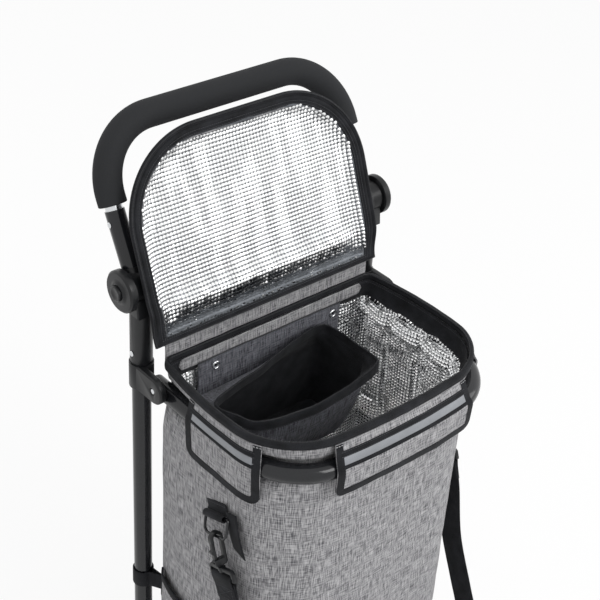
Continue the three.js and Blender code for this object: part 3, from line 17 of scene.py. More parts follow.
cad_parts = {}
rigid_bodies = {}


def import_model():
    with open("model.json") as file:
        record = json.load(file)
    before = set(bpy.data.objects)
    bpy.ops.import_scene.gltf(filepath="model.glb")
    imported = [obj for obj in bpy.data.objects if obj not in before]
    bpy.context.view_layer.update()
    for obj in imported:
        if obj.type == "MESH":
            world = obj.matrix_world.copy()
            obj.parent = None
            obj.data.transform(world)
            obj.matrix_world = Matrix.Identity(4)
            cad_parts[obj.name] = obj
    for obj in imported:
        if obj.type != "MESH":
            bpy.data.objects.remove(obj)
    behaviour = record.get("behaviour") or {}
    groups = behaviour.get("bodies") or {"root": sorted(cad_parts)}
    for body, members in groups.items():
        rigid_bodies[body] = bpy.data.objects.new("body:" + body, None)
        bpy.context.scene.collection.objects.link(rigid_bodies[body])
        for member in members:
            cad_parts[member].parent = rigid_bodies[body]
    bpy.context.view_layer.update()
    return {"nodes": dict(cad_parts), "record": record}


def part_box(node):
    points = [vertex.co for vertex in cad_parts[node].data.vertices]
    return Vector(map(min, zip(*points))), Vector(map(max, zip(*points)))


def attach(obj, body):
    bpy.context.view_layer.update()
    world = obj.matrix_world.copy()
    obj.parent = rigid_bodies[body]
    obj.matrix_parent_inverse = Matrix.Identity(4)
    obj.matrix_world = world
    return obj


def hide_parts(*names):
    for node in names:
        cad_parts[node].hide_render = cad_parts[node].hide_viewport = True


bl_info = {
    "name": "Shopping Trolley Looks",
    "version": (1, 0, 0),
    "blender": (4, 5, 0),
    "location": "3D View > Sidebar > Trolley",
    "description": "Dresses the frame of a shopping trolley in its fabrics and finishes",
    "category": "Object",
}

for left_over in list(bpy.data.objects):
    bpy.data.objects.remove(left_over)
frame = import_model()
record = frame["record"]
BODY_OF = {n: body for body, members in record["behaviour"]["bodies"].items() for n in members}
SLOT_OF = {row["node"]: row["material_slot"] for row in record["subparts"]}
# noise_vector() takes its offsets from a seed, which is the time unless it is set
noise.seed_set(5)

MM = 0.001
QUARTER = math.pi / 2
leg_low, leg_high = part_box("leg_tube_left")
LEG_Y = (leg_low.y + leg_high.y) / 2
LEG_X = 187.5
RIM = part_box("rim_tape")[1].z / MM

# Plan outlines of the bag's rim and of the ring that holds it
BAG = {
    "shift": -3.5, "half": 174, "back": -28, "front": -266, "back_radius": 15, "front_radius": 72,
    "bulge": 13, "bow": 15,
}
RING = {
    "shift": 0, "half": 177.5, "back": -14.5, "front": -267, "back_radius": 15, "front_radius": 76,
    "bulge": 0, "bow": 13,
}
RING_HEIGHT = RIM - 46
RING_RADIUS = 12.5
PINCH_GAP = RING_RADIUS + 1
BAG_BOTTOM = 132

# Height, inset from the bag's outline, and how far the ring pinches the wall in
WALL_LEVELS = np.array([
    (BAG_BOTTOM, 14, 0),
    (BAG_BOTTOM + 3.3, 7.3, 0),
    (BAG_BOTTOM + 10, 4, 0),
    (RING_HEIGHT - 50, 4, 0),
    (RING_HEIGHT - 21, 4, 0.08),
    (RING_HEIGHT - 12.5, 0, 0.8),
    (RING_HEIGHT - 6.25, 0, 1),
    (RING_HEIGHT + 6.25, 0, 1),
    (RING_HEIGHT + 12.5, 0, 0.8),
    (RING_HEIGHT + 21, 4, 0.08),
    (RIM - 9.3, 2, 0),
    (RIM, 2, 0),
])

# The lid stands in a frame of its own, leant back from the top of its strip
LID_TILT = math.radians(21.3)
LID_ORIGIN = (-9.0, -30.7, RIM + 21)
LID_HALF = 187
LID_BASE_HALF = 183
LID_LENGTH = 257
LID_CORNER = (120, 115)
LID_TAPER = 58

HANDLE_TILT = math.radians(28.4)
HINGE = (0.0, 8.0, RIM + 91)

# The tab of the shoulder strap, whose ring, hook and swivel hang in a line that leans back
STRAP_LEAN = math.radians(20)
TAB = (-194.8, -165.0, RIM - 152)
CHAIN_X = -200.6
SWIVEL_BOTTOM = -84.4
# The direction of the webbing's width there
CHAIN_WIDE = (0.0, math.cos(STRAP_LEAN), -math.sin(STRAP_LEAN))

# The dark panel on the back wall, and the pouch that stands before it
PANEL = {"left": -128.0, "right": 112.0, "top": RIM - 24, "bottom": RIM - 78, "front": -38.35}
POUCH_LEFT, POUCH_WIDTH, POUCH_DEPTH = -146.0, 226.0, 139.0
POUCH_TOP, POUCH_MIDDLE, POUCH_FOOT = RIM - 40, RIM - 76, RIM - 168
# Plans of the pouch as shares of its width and depth from its left back corner
POUCH_PLANS = {
    "mouth": [(0, 0.43), (0.38, 0.26), (0.72, 0.12), (0.95, 0.06), (1, 0.22), (1, 0.7), (0.965, 0.86),
              (0.75, 0.95), (0.49, 1), (0.12, 0.92), (0.02, 0.73)],
    "middle": [(0.06, 0), (0.38, 0), (0.72, 0), (0.93, 0), (0.98, 0.1), (0.98, 0.6), (0.93, 0.72),
               (0.72, 0.78), (0.49, 0.81), (0.15, 0.77), (0.06, 0.6)],
    "foot": [(0.08, 0), (0.38, 0), (0.72, 0), (0.91, 0), (0.95, 0.1), (0.95, 0.45), (0.91, 0.54),
             (0.72, 0.57), (0.49, 0.58), (0.16, 0.56), (0.08, 0.45)],
}

# The slot that goes with each finish, unless its piece says otherwise
SLOT_FOR = {
    "melange": "grey_fabric", "inner": "dark_fabric", "tape": "black_webbing", "webbing": "black_webbing",
    "stripe": "black_webbing", "thread": "black_webbing", "dark_thread": "black_webbing",
    "coil": "black_webbing", "foil": "silver_foil", "lid_foil": "silver_foil", "bubbles": "silver_foil",
    "paint": "black_paint", "plastic": "black_plastic", "foam": "black_foam", "steel": "bright_steel",
}
# What the wave texture's scale is for one rib to each unit: a tenth of pi
RIB_SCALE = 0.314159
# Rigid nodes whose shape is right: the finish of each group, and the width of its softened edges.
# A name that ends in an underscore stands for a left and a right node.
RIGID = [
    ("leg_tube_ lower_crossbar", "paint", 0.0),
    ("ring_bracket_ foot_bracket_", "plastic", 0.5),
    ("hinge_base_ hinge_arm_", "plastic", 0.4),
    ("lock_button_", "plastic", 0.3),
    ("handle_tube_", "paint", 0.0),
    ("housing_rivet_ bracket_rivet_ handle_rivet_ axle zip_slider zip_pull", "steel", 0.0),
    ("rubber_foot_ tyre_", "rubber", 0.0),
    ("wheel_rim_", "plastic", 0.4),
    ("strap_ring_", "paint", 0.0),
    ("hook_body_ hook_gate_ swivel_", "plastic", 0.3),
]

CAMERA_PLACE = (-985.6, -1151.7, 1714.3)
CAMERA_YAW = math.radians(42.63)
CAMERA_PITCH = math.radians(33.66)
CAMERA_ROLL = math.radians(3.89)
FOCAL_PIXELS = 1379.8
PHOTO_PIXELS = 600
SENSOR = 36.0


def linear(code):
    """An sRGB hex colour as linear red, green and blue."""
    values = [int(code[i:i + 2], 16) / 255 for i in (1, 3, 5)]
    return tuple(v / 12.92 if v <= 0.04045 else ((v + 0.055) / 1.055) ** 2.4 for v in values)


def colour(name, about, code):
    return FloatVectorProperty(name=name, description=about, subtype="COLOR", min=0, max=1,
                               default=linear(code))


def length(name, about, millimetres):
    return FloatProperty(name=name, description=about, unit="LENGTH", min=0, precision=5,
                         default=millimetres * MM)


def amount(name, about, value):
    return FloatProperty(name=name, description=about, min=0, default=value)


class TrolleyColours(bpy.types.PropertyGroup):
    """Colours of the trolley's materials"""

    melange_light: colour("Melange light", "Pale yarns of the bag's cloth", "#C6C5C7")
    melange_dark: colour("Melange dark", "Dark yarns of the bag's cloth", "#57575B")
    inner_light: colour("Inner melange light", "Pale yarns of the pouch's cloth", "#84858D")
    inner_dark: colour("Inner melange dark", "Dark yarns of the pouch's cloth", "#34353A")
    tape_light: colour("Tape light", "Pale fibres of the black tape and webbing", "#2B2C30")
    tape_dark: colour("Tape dark", "Dark fibres of the black tape and webbing", "#0F1012")
    stripe: colour("Reflective stripe", "Beaded silver-grey tape on the flaps", "#9DA0A5")
    foil: colour("Foil", "Aluminium film of the lid and the lining", "#F4F5F6")
    # Painted shade: the film between the foil's bubbles is coloured darker for the shade that falls there
    foil_valley_shade: colour("Foil valley shade", "Film between the foil's bubbles, darkened as painted shade", "#63666A")
    foam: colour("Foam", "Closed-cell foam of the grip", "#303133")
    paint: colour("Paint", "Powder coat of the tubes", "#1F2023")
    plastic: colour("Plastic", "Moulded brackets, hinges and hooks", "#191A1C")
    steel: colour("Steel", "Zinc-plated rivets and bare tube", "#D4D6D8")
    thread: colour("Thread", "Pale sewing thread", "#C9CACC")


class TrolleySizes(bpy.types.PropertyGroup):
    """Sizes of the trolley's cloth, tapes, stitches and foil"""

    yarn: length("Yarn pitch", "Distance between the cloth's yarns, drawn coarse enough to show", 1.0)
    slub: length("Slub length", "Length of the yarns' pale and dark runs", 20)
    binding: length("Binding width", "Width of the black binding round the flaps", 10)
    top_strip: length("Top strip", "Cloth between the rim and the flap's first band", 10.5)
    first_band: length("First band", "Black band above the reflective stripe", 8)
    stripe: length("Stripe", "Width of the reflective stripe", 10)
    second_band: length("Second band", "Black band under the reflective stripe", 4.5)
    facing: length("Facing", "Height of the black band inside the rim", 30)
    bubble: length("Bubble pitch", "Distance between the foil's bubbles", 5.2)
    fold: length("Lining fold", "Depth of the folds in the foil lining", 6)
    stitch: length("Stitch", "Length of one stitch", 2.2)
    stitch_gap: length("Stitch gap", "Gap between two stitches", 1.1)
    tooth: length("Tooth pitch", "Distance between the teeth of the coil zip", 1.6)
    webbing: length("Webbing width", "Width of the shoulder strap", 40)


class TrolleyStage(bpy.types.PropertyGroup):
    """Light on the trolley"""

    key: amount("Key lamp", "Power of the large lamp at the upper front", 34)
    fill: amount("Fill lamp", "Power of the lamp at the right", 16)
    back: amount("Back lamp", "Power of the lamp behind", 10)
    sky: amount("Sky", "Strength of the even light from all round", 0.62)


def at(x, y, z):
    """Millimetres in the part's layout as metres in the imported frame."""
    return Vector((x * MM, y * MM + LEG_Y, z * MM))


def place_rows(points):
    """The same for an array of points."""
    moved = np.array(points, float) * MM
    moved[..., 1] += LEG_Y
    return moved


def leant(points, tilt, origin):
    """Points of a frame that leans back from its origin, in the part's layout."""
    points = np.array(points, float)
    c, s = math.cos(tilt), math.sin(tilt)
    return np.stack([
        points[..., 0] + origin[0],
        points[..., 1] * c + points[..., 2] * s + origin[1],
        points[..., 2] * c - points[..., 1] * s + origin[2],
    ], -1)


def on_lid(points):
    """Points of the lid's own frame (across, depth towards the front, height) in the part's layout.
    The padding thins towards the hinge, where the lid is sewn to its strip."""
    points = np.array(points, float)
    points[..., 1] *= -(0.42 + 0.58 * soft_step(points[..., 2], 5, 48))
    return leant(points, LID_TILT, LID_ORIGIN)


def on_handle(points):
    """Points of the handle's own frame, whose Z runs along its arms, in the part's layout."""
    return leant(points, HANDLE_TILT, HINGE)


def on_chain(points):
    """Points of the strap chain's leaning frame in the part's layout, on the left side."""
    return leant(points, STRAP_LEAN, (0.0, *TAB[1:]))


def on_side(points, side):
    """Points of the left side (1) as they are, or mirrored about the bag's middle (-1)."""
    points = np.array(points, float)
    if side == -1:
        points[..., 0] = 2 * BAG["shift"] - points[..., 0]
    return points


def rough(point, scale, seed=0.0):
    """Smooth noise between -1 and 1 at a point in millimetres, for features about scale long."""
    return noise.noise(Vector(point) / scale + Vector((seed, seed * 1.7, seed * 0.3)))


def soft_step(values, low, high):
    """0 below low, 1 above high, and a smooth rise between them, for an array of values."""
    share = np.clip((np.asarray(values, float) - low) / (high - low), 0, 1)
    return share * share * (3 - 2 * share)


def soft(value, low, high):
    """The same for one value."""
    return float(soft_step(value, low, high))


# Outlines


def arc(cx, cy, radius, start, steps):
    turns = start + QUARTER * np.arange(steps + 1) / steps
    return list(zip(cx + radius * np.cos(turns), cy + radius * np.sin(turns)))


def outline(plan, inset):
    """Points round a plan, from the middle of the back round the left side, the front and the right."""
    half = plan["half"] - inset
    back = plan["back"] - inset
    front = plan["front"] + inset
    back_radius = max(plan["back_radius"] - inset, plan["back_radius"] / 4)
    front_radius = max(plan["front_radius"] - inset, plan["front_radius"] / 4)
    left = [(-(half - back_radius) * i / 14, back) for i in range(14)]
    left += arc(-half + back_radius, back - back_radius, back_radius, QUARTER, 7)
    side_from, side_to = back - back_radius, front + front_radius
    left += [(-half, side_from + (side_to - side_from) * i / 18) for i in range(1, 18)]
    left += arc(-half + front_radius, front + front_radius, front_radius, math.pi, 14)
    left += [((-half + front_radius) * (1 - i / 14), front) for i in range(1, 15)]
    right = [(-x, y) for x, y in left[1:-1][::-1]]
    points = np.array(left + right)
    middle = (plan["back"] + plan["front"]) / 2
    reach = (plan["back"] - plan["front"]) / 2
    along = (points[:, 1] - middle) / reach
    across = points[:, 0] / plan["half"]
    swell = 1 + (plan["bulge"] / plan["half"]) * np.maximum(0, 1 - along ** 2)
    bow = plan["bow"] * np.maximum(0, -along) * np.maximum(0, 1 - across ** 2)
    return np.stack([points[:, 0] * swell + plan["shift"], points[:, 1] - bow], -1)


def level(flat, z):
    """A flat line with the same third value for each point."""
    return np.column_stack([flat, np.full(len(flat), z)])


def looped(line):
    """A closed line with its first point again at its end."""
    return np.vstack([line, line[:1]])


def wall_ring(z, extra):
    """The bag's wall at one height, moved in by extra. Below the ring its load fills out the back
    corners."""
    spread = np.linspace(-4, 4, 9)
    inset = np.interp(z + spread, WALL_LEVELS[:, 0], WALL_LEVELS[:, 1]).mean()
    if z < BAG_BOTTOM + 12:
        inset = np.interp(z, WALL_LEVELS[:, 0], WALL_LEVELS[:, 1])
    pinch = np.interp(z + spread, WALL_LEVELS[:, 0], WALL_LEVELS[:, 2]).mean()
    free = outline(BAG, inset + extra)
    held = outline(RING, PINCH_GAP + extra)
    flat = free * (1 - pinch) + held * pinch
    side = flat[:, 0] - BAG["shift"]
    full = soft(z, BAG_BOTTOM + 10, BAG_BOTTOM + 90) * (1 - soft(z, RING_HEIGHT - 60, RING_HEIGHT))
    near_back = soft_step(flat[:, 1], -190, -70) * soft_step(np.abs(side), 120, 168)
    corner_fill = 8
    flat[:, 0] += np.sign(side) * corner_fill * full * near_back
    return level(flat, z)


def wall_side(z, extra, back, front):
    """The stretch of the wall's left side between two depths."""
    ring = wall_ring(z, extra)
    return ring[(ring[:, 0] < 0) & (ring[:, 1] < back) & (ring[:, 1] > front)]


def outward(ring):
    """Unit vectors that point out of a closed ring, level with the floor."""
    along = np.roll(ring, -1, 0) - np.roll(ring, 1, 0)
    out = np.stack([along[:, 1], -along[:, 0], np.zeros(len(ring))], -1)
    out /= np.linalg.norm(out, axis=1)[:, None]
    centre = ring.mean(0)
    return out if ((ring - centre) * out).sum() > 0 else -out


def shrunk(ring, shares):
    """Copies of a ring drawn in towards its middle."""
    centre = ring.mean(0)
    return [centre + (ring - centre) * share for share in shares]


def run_lengths(points, closed=False):
    """Distances along a line of points."""
    points = looped(points) if closed else np.asarray(points)
    steps = np.linalg.norm(np.diff(points, axis=0), axis=1)
    return np.concatenate([[0], np.cumsum(steps)])


def section_of(line, key, start, end, count):
    """The stretch of an outline between two values of x (0) or y (1), at even values."""
    values = np.linspace(start, end, count)
    order = np.argsort(line[:, key])
    return np.stack([np.interp(values, line[order, key], line[order, k]) for k in range(3)], -1)


def smooth_line(points, count):
    """A smooth curve through a few points, as count points at even spacing."""
    points = np.asarray(points, float)
    ends = np.vstack([2 * points[0] - points[1], points, 2 * points[-1] - points[-2]])
    curve = []
    for i in range(1, len(ends) - 2):
        a, b, c, d = ends[i - 1:i + 3]
        for t in np.arange(12) / 12:
            curve.append(0.5 * (2 * b + (c - a) * t + (2 * a - 5 * b + 4 * c - d) * t * t
                                + (3 * b - a - 3 * c + d) * t ** 3))
    curve = np.array(curve + [points[-1]])
    places = run_lengths(curve)
    wanted = np.linspace(0, places[-1], count)
    return np.stack([np.interp(wanted, places, curve[:, k]) for k in range(curve.shape[1])], -1)


def catmull_rom(points, count):
    """The centripetal curve that the part's source draws the strap with."""
    points = [np.asarray(p, float) for p in points]
    last = len(points) - 1
    made = []
    for step in range(count + 1):
        place = last * step / count
        i = min(int(place), last - 1)
        t = place - i
        p1, p2 = points[i], points[i + 1]
        p0 = points[i - 1] if i > 0 else 2 * p1 - p2
        p3 = points[i + 2] if i + 2 <= last else 2 * p2 - p1
        gaps = [max(np.linalg.norm(b - a) ** 0.5, 1e-4) for a, b in ((p0, p1), (p1, p2), (p2, p3))]
        leave = ((p1 - p0) / gaps[0] - (p2 - p0) / (gaps[0] + gaps[1]) + (p2 - p1) / gaps[1]) * gaps[1]
        arrive = ((p2 - p1) / gaps[1] - (p3 - p1) / (gaps[1] + gaps[2]) + (p3 - p2) / gaps[2]) * gaps[1]
        made.append(p1 + leave * t + (-3 * p1 + 3 * p2 - 2 * leave - arrive) * t * t
                    + (2 * p1 - 2 * p2 + leave + arrive) * t ** 3)
    return np.array(made)


def bent_path(corners, radius, steps):
    """A line of straight runs with round corners."""
    corners = [Vector(c) for c in corners]
    path = [corners[0]]
    for before, corner, after in zip(corners, corners[1:], corners[2:]):
        arrive = (corner - before).normalized()
        leave = (after - corner).normalized()
        bend = arrive.angle(leave)
        centre = corner + (leave - arrive).normalized() * (radius / math.cos(bend / 2))
        start = corner - arrive * (radius * math.tan(bend / 2))
        axis = arrive.cross(leave).normalized()
        for step in range(steps + 1):
            path.append(Matrix.Rotation(bend * step / steps, 3, axis) @ (start - centre) + centre)
    return np.array(path + [corners[-1]])


# Meshes


def new_object(name, mesh):
    obj = bpy.data.objects.new(name, mesh)
    bpy.context.scene.collection.objects.link(obj)
    return obj


def skin(name, rows, place_of, wrap=True, loop=False, caps=(), cap_place=None):
    """A mesh over rows of points in millimetres. place_of(row, column) gives a corner's place in the UV
    map, wrap joins the ends of each row, loop joins the last row to the first, and caps are rows to close,
    with cap_place for their corners."""
    rows = np.asarray(rows, float)
    count, width = rows.shape[:2]
    sides = [[(r, c), (r, c + 1), (r + 1, c + 1), (r + 1, c)]
             for r in range(count if loop else count - 1)
             for c in range(width if wrap else width - 1)]
    ends = [[(row, c) for c in range(width)] for row in caps]
    mesh = bpy.data.meshes.new(name)
    mesh.from_pydata([tuple(p) for p in place_rows(rows).reshape(-1, 3)], [],
                     [[r % count * width + c % width for r, c in face] for face in sides + ends])
    maps = [place_of(*corner) for face in sides for corner in face]
    maps += [(cap_place or place_of)(*corner) for face in ends for corner in face]
    mesh.uv_layers.new(name="Cloth").data.foreach_set("uv", np.array(maps, np.float32).ravel())
    return new_object(name, mesh)


def grid_mesh(name, rows, closed=False, u=None, v=None, floor=False):
    """A skin over rows of points, open or closed round; a floor closes the first row."""
    rows = np.asarray(rows, float)
    u = run_lengths(rows[len(rows) // 2], closed) * MM if u is None else u
    v = run_lengths(rows[:, 0]) * MM if v is None else v
    return skin(name, rows, lambda r, c: (u[c], v[r]), closed, caps=(0,) if floor else (),
                cap_place=lambda r, c: rows[r, c, :2] * MM)


def swept(name, rings, closed=False):
    """A closed body through rings of points in millimetres."""
    rings = np.asarray(rings, float)
    along = run_lengths(rings.mean(1), closed) * MM
    around = run_lengths(rings[0], True) * MM
    obj = skin(name, rings, lambda r, c: (around[c], along[r]), loop=closed,
               caps=() if closed else (0, len(rings) - 1))
    return tidy_mesh(obj, 50)


def tidy_mesh(obj, angle=40.0, round_centre=False):
    """Merges doubled points, turns the faces outwards and shades them smooth up to an angle.
    An open shell is turned so that its faces look away from its middle."""
    work = bmesh.new()
    work.from_mesh(obj.data)
    bmesh.ops.remove_doubles(work, verts=work.verts, dist=1e-6)
    bmesh.ops.recalc_face_normals(work, faces=work.faces)
    if round_centre:
        centre = sum((v.co for v in work.verts), Vector()) / len(work.verts)
        out = sum(f.normal.dot(f.calc_center_median() - centre) * f.calc_area() for f in work.faces)
        if out < 0:
            bmesh.ops.reverse_faces(work, faces=work.faces)
    work.to_mesh(obj.data)
    work.free()
    return smoothed(obj, angle)


def smoothed(obj, angle):
    obj.data.shade_smooth()
    obj.data.set_sharp_from_angle(angle=math.radians(angle))
    return obj


def plain_mesh(obj):
    """Turns the modifiers of a piece into its own mesh."""
    view = bpy.context.evaluated_depsgraph_get()
    made = bpy.data.meshes.new_from_object(obj.evaluated_get(view), preserve_all_data_layers=True,
                                           depsgraph=view)
    obj.modifiers.clear()
    obj.data = made
    return obj


def thicken(obj, wall, offset=-1.0, inner_slot=0):
    """Gives a skin its thickness in millimetres, inwards unless offset says otherwise."""
    solid = obj.modifiers.new("Thickness", "SOLIDIFY")
    solid.thickness = wall * MM
    solid.offset = offset
    solid.material_offset = inner_slot
    return plain_mesh(obj)


def soften(obj, width, segments, angle):
    """Rounds a body's sharp edges."""
    bevel = obj.modifiers.new("Soft edges", "BEVEL")
    bevel.width = width * MM
    bevel.segments = segments
    bevel.limit_method = "ANGLE"
    bevel.angle_limit = math.radians(angle)
    return plain_mesh(obj)


def cloth_sheet(name, rows, wall, **maps):
    """An open sheet of cloth, as thick to one side of its rows as to the other."""
    return thicken(tidy_mesh(grid_mesh(name, rows, **maps), 60), wall, 0.0)


def cloth_shell(name, rows, angle=60, floor=True):
    """A shell round the bag or the pouch, still without its thickness."""
    return tidy_mesh(grid_mesh(name, rows, closed=True, floor=floor), angle, True)


def tape_section(width, thick):
    """A flat band's section with round edges: across and out of its surface."""
    a, b, r = width / 2, thick / 2, min(thick / 2, width / 4)
    upper = [(-a + r * 0.3, b * 0.7), (-a + r, b), (0, b), (a - r, b), (a - r * 0.3, b * 0.7)]
    return [(-a, 0), *upper, (a, 0), *[(x, -y) for x, y in upper[::-1]]]


def directions(line):
    """Unit vectors along a line of points."""
    along = np.gradient(line, axis=0)
    return along / np.linalg.norm(along, axis=1)[:, None]


def ribbon_rings(centres, wide_hint, width, thick):
    """Sections of a flat webbing along a line; wide_hint gives its width's direction."""
    centres = np.asarray(centres, float)
    hint = np.asarray(wide_hint, float)
    rings = []
    for point, ahead in zip(centres, directions(centres)):
        wide = hint - ahead * hint.dot(ahead)
        wide /= np.linalg.norm(wide)
        out = np.cross(ahead, wide)
        rings.append([point + wide * a + out * b for a, b in tape_section(width, thick)])
    return rings


def joined(name, pieces):
    """Several pieces of one finish as one object; the pieces go with their meshes."""
    whole = bmesh.new()
    for piece in pieces:
        whole.from_mesh(piece.data)
    mesh = bpy.data.meshes.new(name)
    whole.to_mesh(mesh)
    whole.free()
    for piece in pieces:
        bpy.data.meshes.remove(piece.data)
    return new_object(name, mesh)


class Drape:
    """A sheet laid over a grid of points, which gives the place of a point across and down it.
    Its outer face looks the way that away points at its middle."""

    def __init__(self, grid, away):
        self.grid = np.asarray(grid, float)
        rows, columns = self.grid.shape[:2]
        self.width = run_lengths(self.grid[rows // 2])[-1]
        self.height = run_lengths(self.grid[:, columns // 2])[-1]
        self.facing = 1.0
        middle, lifted = (self.point(self.width / 2, self.height / 2, lift) for lift in (0.0, 1.0))
        if np.dot(lifted - middle, away(middle)) < 0:
            self.facing = -1.0

    def spot(self, across, down):
        """A place on the sheet, and the directions across and down it; beyond the edges it runs on flat."""
        rows, columns = self.grid.shape[:2]
        c = min(max(across / self.width, 0), 1) * (columns - 1)
        r = min(max(down / self.height, 0), 1) * (rows - 1)
        i, j = min(int(r), rows - 2), min(int(c), columns - 2)
        fr, fc = r - i, c - j
        g = self.grid
        here = ((1 - fr) * ((1 - fc) * g[i, j] + fc * g[i, j + 1])
                + fr * ((1 - fc) * g[i + 1, j] + fc * g[i + 1, j + 1]))
        beyond_across = across - min(max(across, 0), self.width)
        beyond_down = down - min(max(down, 0), self.height)
        side = g[i, j + 1] - g[i, j]
        side = side / np.linalg.norm(side)
        drop = g[i + 1, j] - g[i, j]
        drop = drop / np.linalg.norm(drop)
        return here + side * beyond_across + drop * beyond_down, side, drop

    def point(self, across, down, lift=0.0):
        """A place on the sheet or lifted off its outer face."""
        here, side, drop = self.spot(across, down)
        out = np.cross(side, drop)
        return here + out / np.linalg.norm(out) * lift * self.facing

    def band(self, name, path, width, thick, lift, wrap=False):
        """A tape along a path of (across, down) places: centred on it, or wrapped round an edge there."""
        path = np.asarray(path, float)
        if wrap:
            low, high = -lift - thick, lift + thick
            section = [(0, low), (-0.9, low + 0.4), (-1.2, 0), (-0.9, high - 0.4), (0, high),
                       (width / 2, high), (width - 0.4, high - 0.15), (width, lift + thick / 3),
                       (width, -lift - thick / 3), (width - 0.4, low + 0.15), (width / 2, low)]
        else:
            section = [(x, lift + thick / 2 + y) for x, y in tape_section(width, thick)]
        return swept(name, [[self.point(a - gd * x, d + ga * x, h) for x, h in section]
                            for (a, d), (ga, gd) in zip(path, directions(path))])


def add(tree, kind, inputs=None, stops=None, **settings):
    """Adds a node with its settings; an input is a value or the output that feeds it."""
    node = tree.nodes.new(kind)
    for key, value in settings.items():
        setattr(node, key, value)
    if stops:
        ramp = node.color_ramp
        while len(ramp.elements) < len(stops):
            ramp.elements.new(0.5)
        for element, (place, shade) in zip(ramp.elements, stops):
            element.position = place
            element.color = (*shade, 1)
    for key, value in (inputs or {}).items():
        if isinstance(value, bpy.types.NodeSocket):
            tree.links.new(value, node.inputs[key])
        else:
            node.inputs[key].default_value = value
    return node


def maths(tree, operation, *values):
    """The output of a math node."""
    return add(tree, "ShaderNodeMath", dict(enumerate(values)), operation=operation).outputs[0]


def growth_tree(name, build, **inputs):
    """The geometry nodes tree of that name, built once. Its inputs have a type and a value; what build adds
    is made real and given its material."""
    tree = bpy.data.node_groups.get(name)
    if tree:
        return tree
    tree = bpy.data.node_groups.new(name, "GeometryNodeTree")
    given_sockets = {"Geometry": ("Geometry", None), **inputs, "Material": ("Material", None)}
    for label, (kind, default) in given_sockets.items():
        socket = tree.interface.new_socket(name=label, in_out="INPUT", socket_type=f"NodeSocket{kind}")
        if default is not None:
            socket.default_value = default
    tree.interface.new_socket(name="Geometry", in_out="OUTPUT", socket_type="NodeSocketGeometry")
    given = add(tree, "NodeGroupInput").outputs
    whole = add(tree, "GeometryNodeRealizeInstances", {"Geometry": build(tree, given)})
    coated = add(tree, "GeometryNodeSetMaterial", {
        "Geometry": whole.outputs["Geometry"], "Material": given["Material"]})
    add(tree, "NodeGroupOutput", {"Geometry": coated.outputs["Geometry"]})
    return tree


def tube_tree():
    """Geometry nodes: a round tube along each line of the mesh that it is given."""
    def build(tree, given):
        line = add(tree, "GeometryNodeMeshToCurve", {"Mesh": given["Geometry"]})
        ring = add(tree, "GeometryNodeCurvePrimitiveCircle", {
            "Radius": given["Radius"], "Resolution": given["Sides"]})
        return add(tree, "GeometryNodeCurveToMesh", {
            "Curve": line.outputs["Curve"], "Profile Curve": ring.outputs["Curve"],
            "Fill Caps": True}).outputs["Mesh"]

    return growth_tree("Tube along a path", build, Radius=("Float", 0.01), Sides=("Int", 32))


def repeat_tree():
    """Geometry nodes: small bars set along each line, for stitches and the teeth of a zip."""
    def build(tree, given):
        line = add(tree, "GeometryNodeMeshToCurve", {"Mesh": given["Geometry"]})
        spots = add(tree, "GeometryNodeCurveToPoints", {
            "Curve": line.outputs["Curve"], "Length": given["Pitch"]}, mode="LENGTH")
        bar = add(tree, "GeometryNodeMeshCylinder", {
            "Vertices": 6, "Radius": maths(tree, "MULTIPLY", given["Width"], 0.5), "Depth": given["Length"]})
        size = add(tree, "FunctionNodeRandomValue", {
            "Min": maths(tree, "SUBTRACT", 1.0, given["Unevenness"]),
            "Max": maths(tree, "ADD", 1.0, given["Unevenness"]), "Seed": given["Seed"]})
        return add(tree, "GeometryNodeInstanceOnPoints", {
            "Points": spots.outputs["Points"], "Instance": bar.outputs["Mesh"],
            "Rotation": spots.outputs["Rotation"], "Scale": size.outputs[1]}).outputs["Instances"]

    return growth_tree("Bars along a path", build, Pitch=("Float", 0.003), Length=("Float", 0.002),
                       Width=("Float", 0.0005), Unevenness=("Float", 0.1), Seed=("Int", 7))


def bubble_tree():
    """Geometry nodes: a low dome on each point, turned along the attribute Facing, as high as Rise says."""
    def build(tree, given):
        crown, foot = (maths(tree, "MULTIPLY", given["Pitch"], given[share]) for share in ("Crown", "Foot"))
        dome = add(tree, "GeometryNodeMeshCone", {
            "Vertices": given["Sides"], "Radius Top": crown, "Radius Bottom": foot,
            "Depth": given["Height"]})
        facing = add(tree, "GeometryNodeInputNamedAttribute", {"Name": "Facing"}, data_type="FLOAT_VECTOR")
        rise = add(tree, "GeometryNodeInputNamedAttribute", {"Name": "Rise"}, data_type="FLOAT")
        out = add(tree, "FunctionNodeAlignRotationToVector", {
            "Vector": facing.outputs["Attribute"]}, axis="Z")
        turn = add(tree, "FunctionNodeAlignRotationToVector", {
            "Rotation": out.outputs["Rotation"], "Vector": (0, 0, 1)}, axis="Y", pivot_axis="Z")
        # Half a side's turn, so that one facet looks up and one down
        spin = add(tree, "FunctionNodeAxisAngleToRotation", {
            "Axis": (0, 0, 1), "Angle": maths(tree, "DIVIDE", math.pi, given["Sides"])})
        turn = add(tree, "FunctionNodeRotateRotation", {
            "Rotation": turn.outputs["Rotation"], "Rotate By": spin.outputs["Rotation"]},
            rotation_space="LOCAL")
        size = add(tree, "ShaderNodeCombineXYZ", {"X": 1.0, "Y": 1.0, "Z": rise.outputs["Attribute"]})
        return add(tree, "GeometryNodeInstanceOnPoints", {
            "Points": given["Geometry"], "Instance": dome.outputs["Mesh"],
            "Rotation": turn.outputs["Rotation"], "Scale": size.outputs["Vector"]}).outputs["Instances"]

    return growth_tree("Bubbles on a sheet", build, Pitch=("Float", 0.005), Height=("Float", 0.0015),
                       Sides=("Int", 6), Foot=("Float", 0.5), Crown=("Float", 0.2))


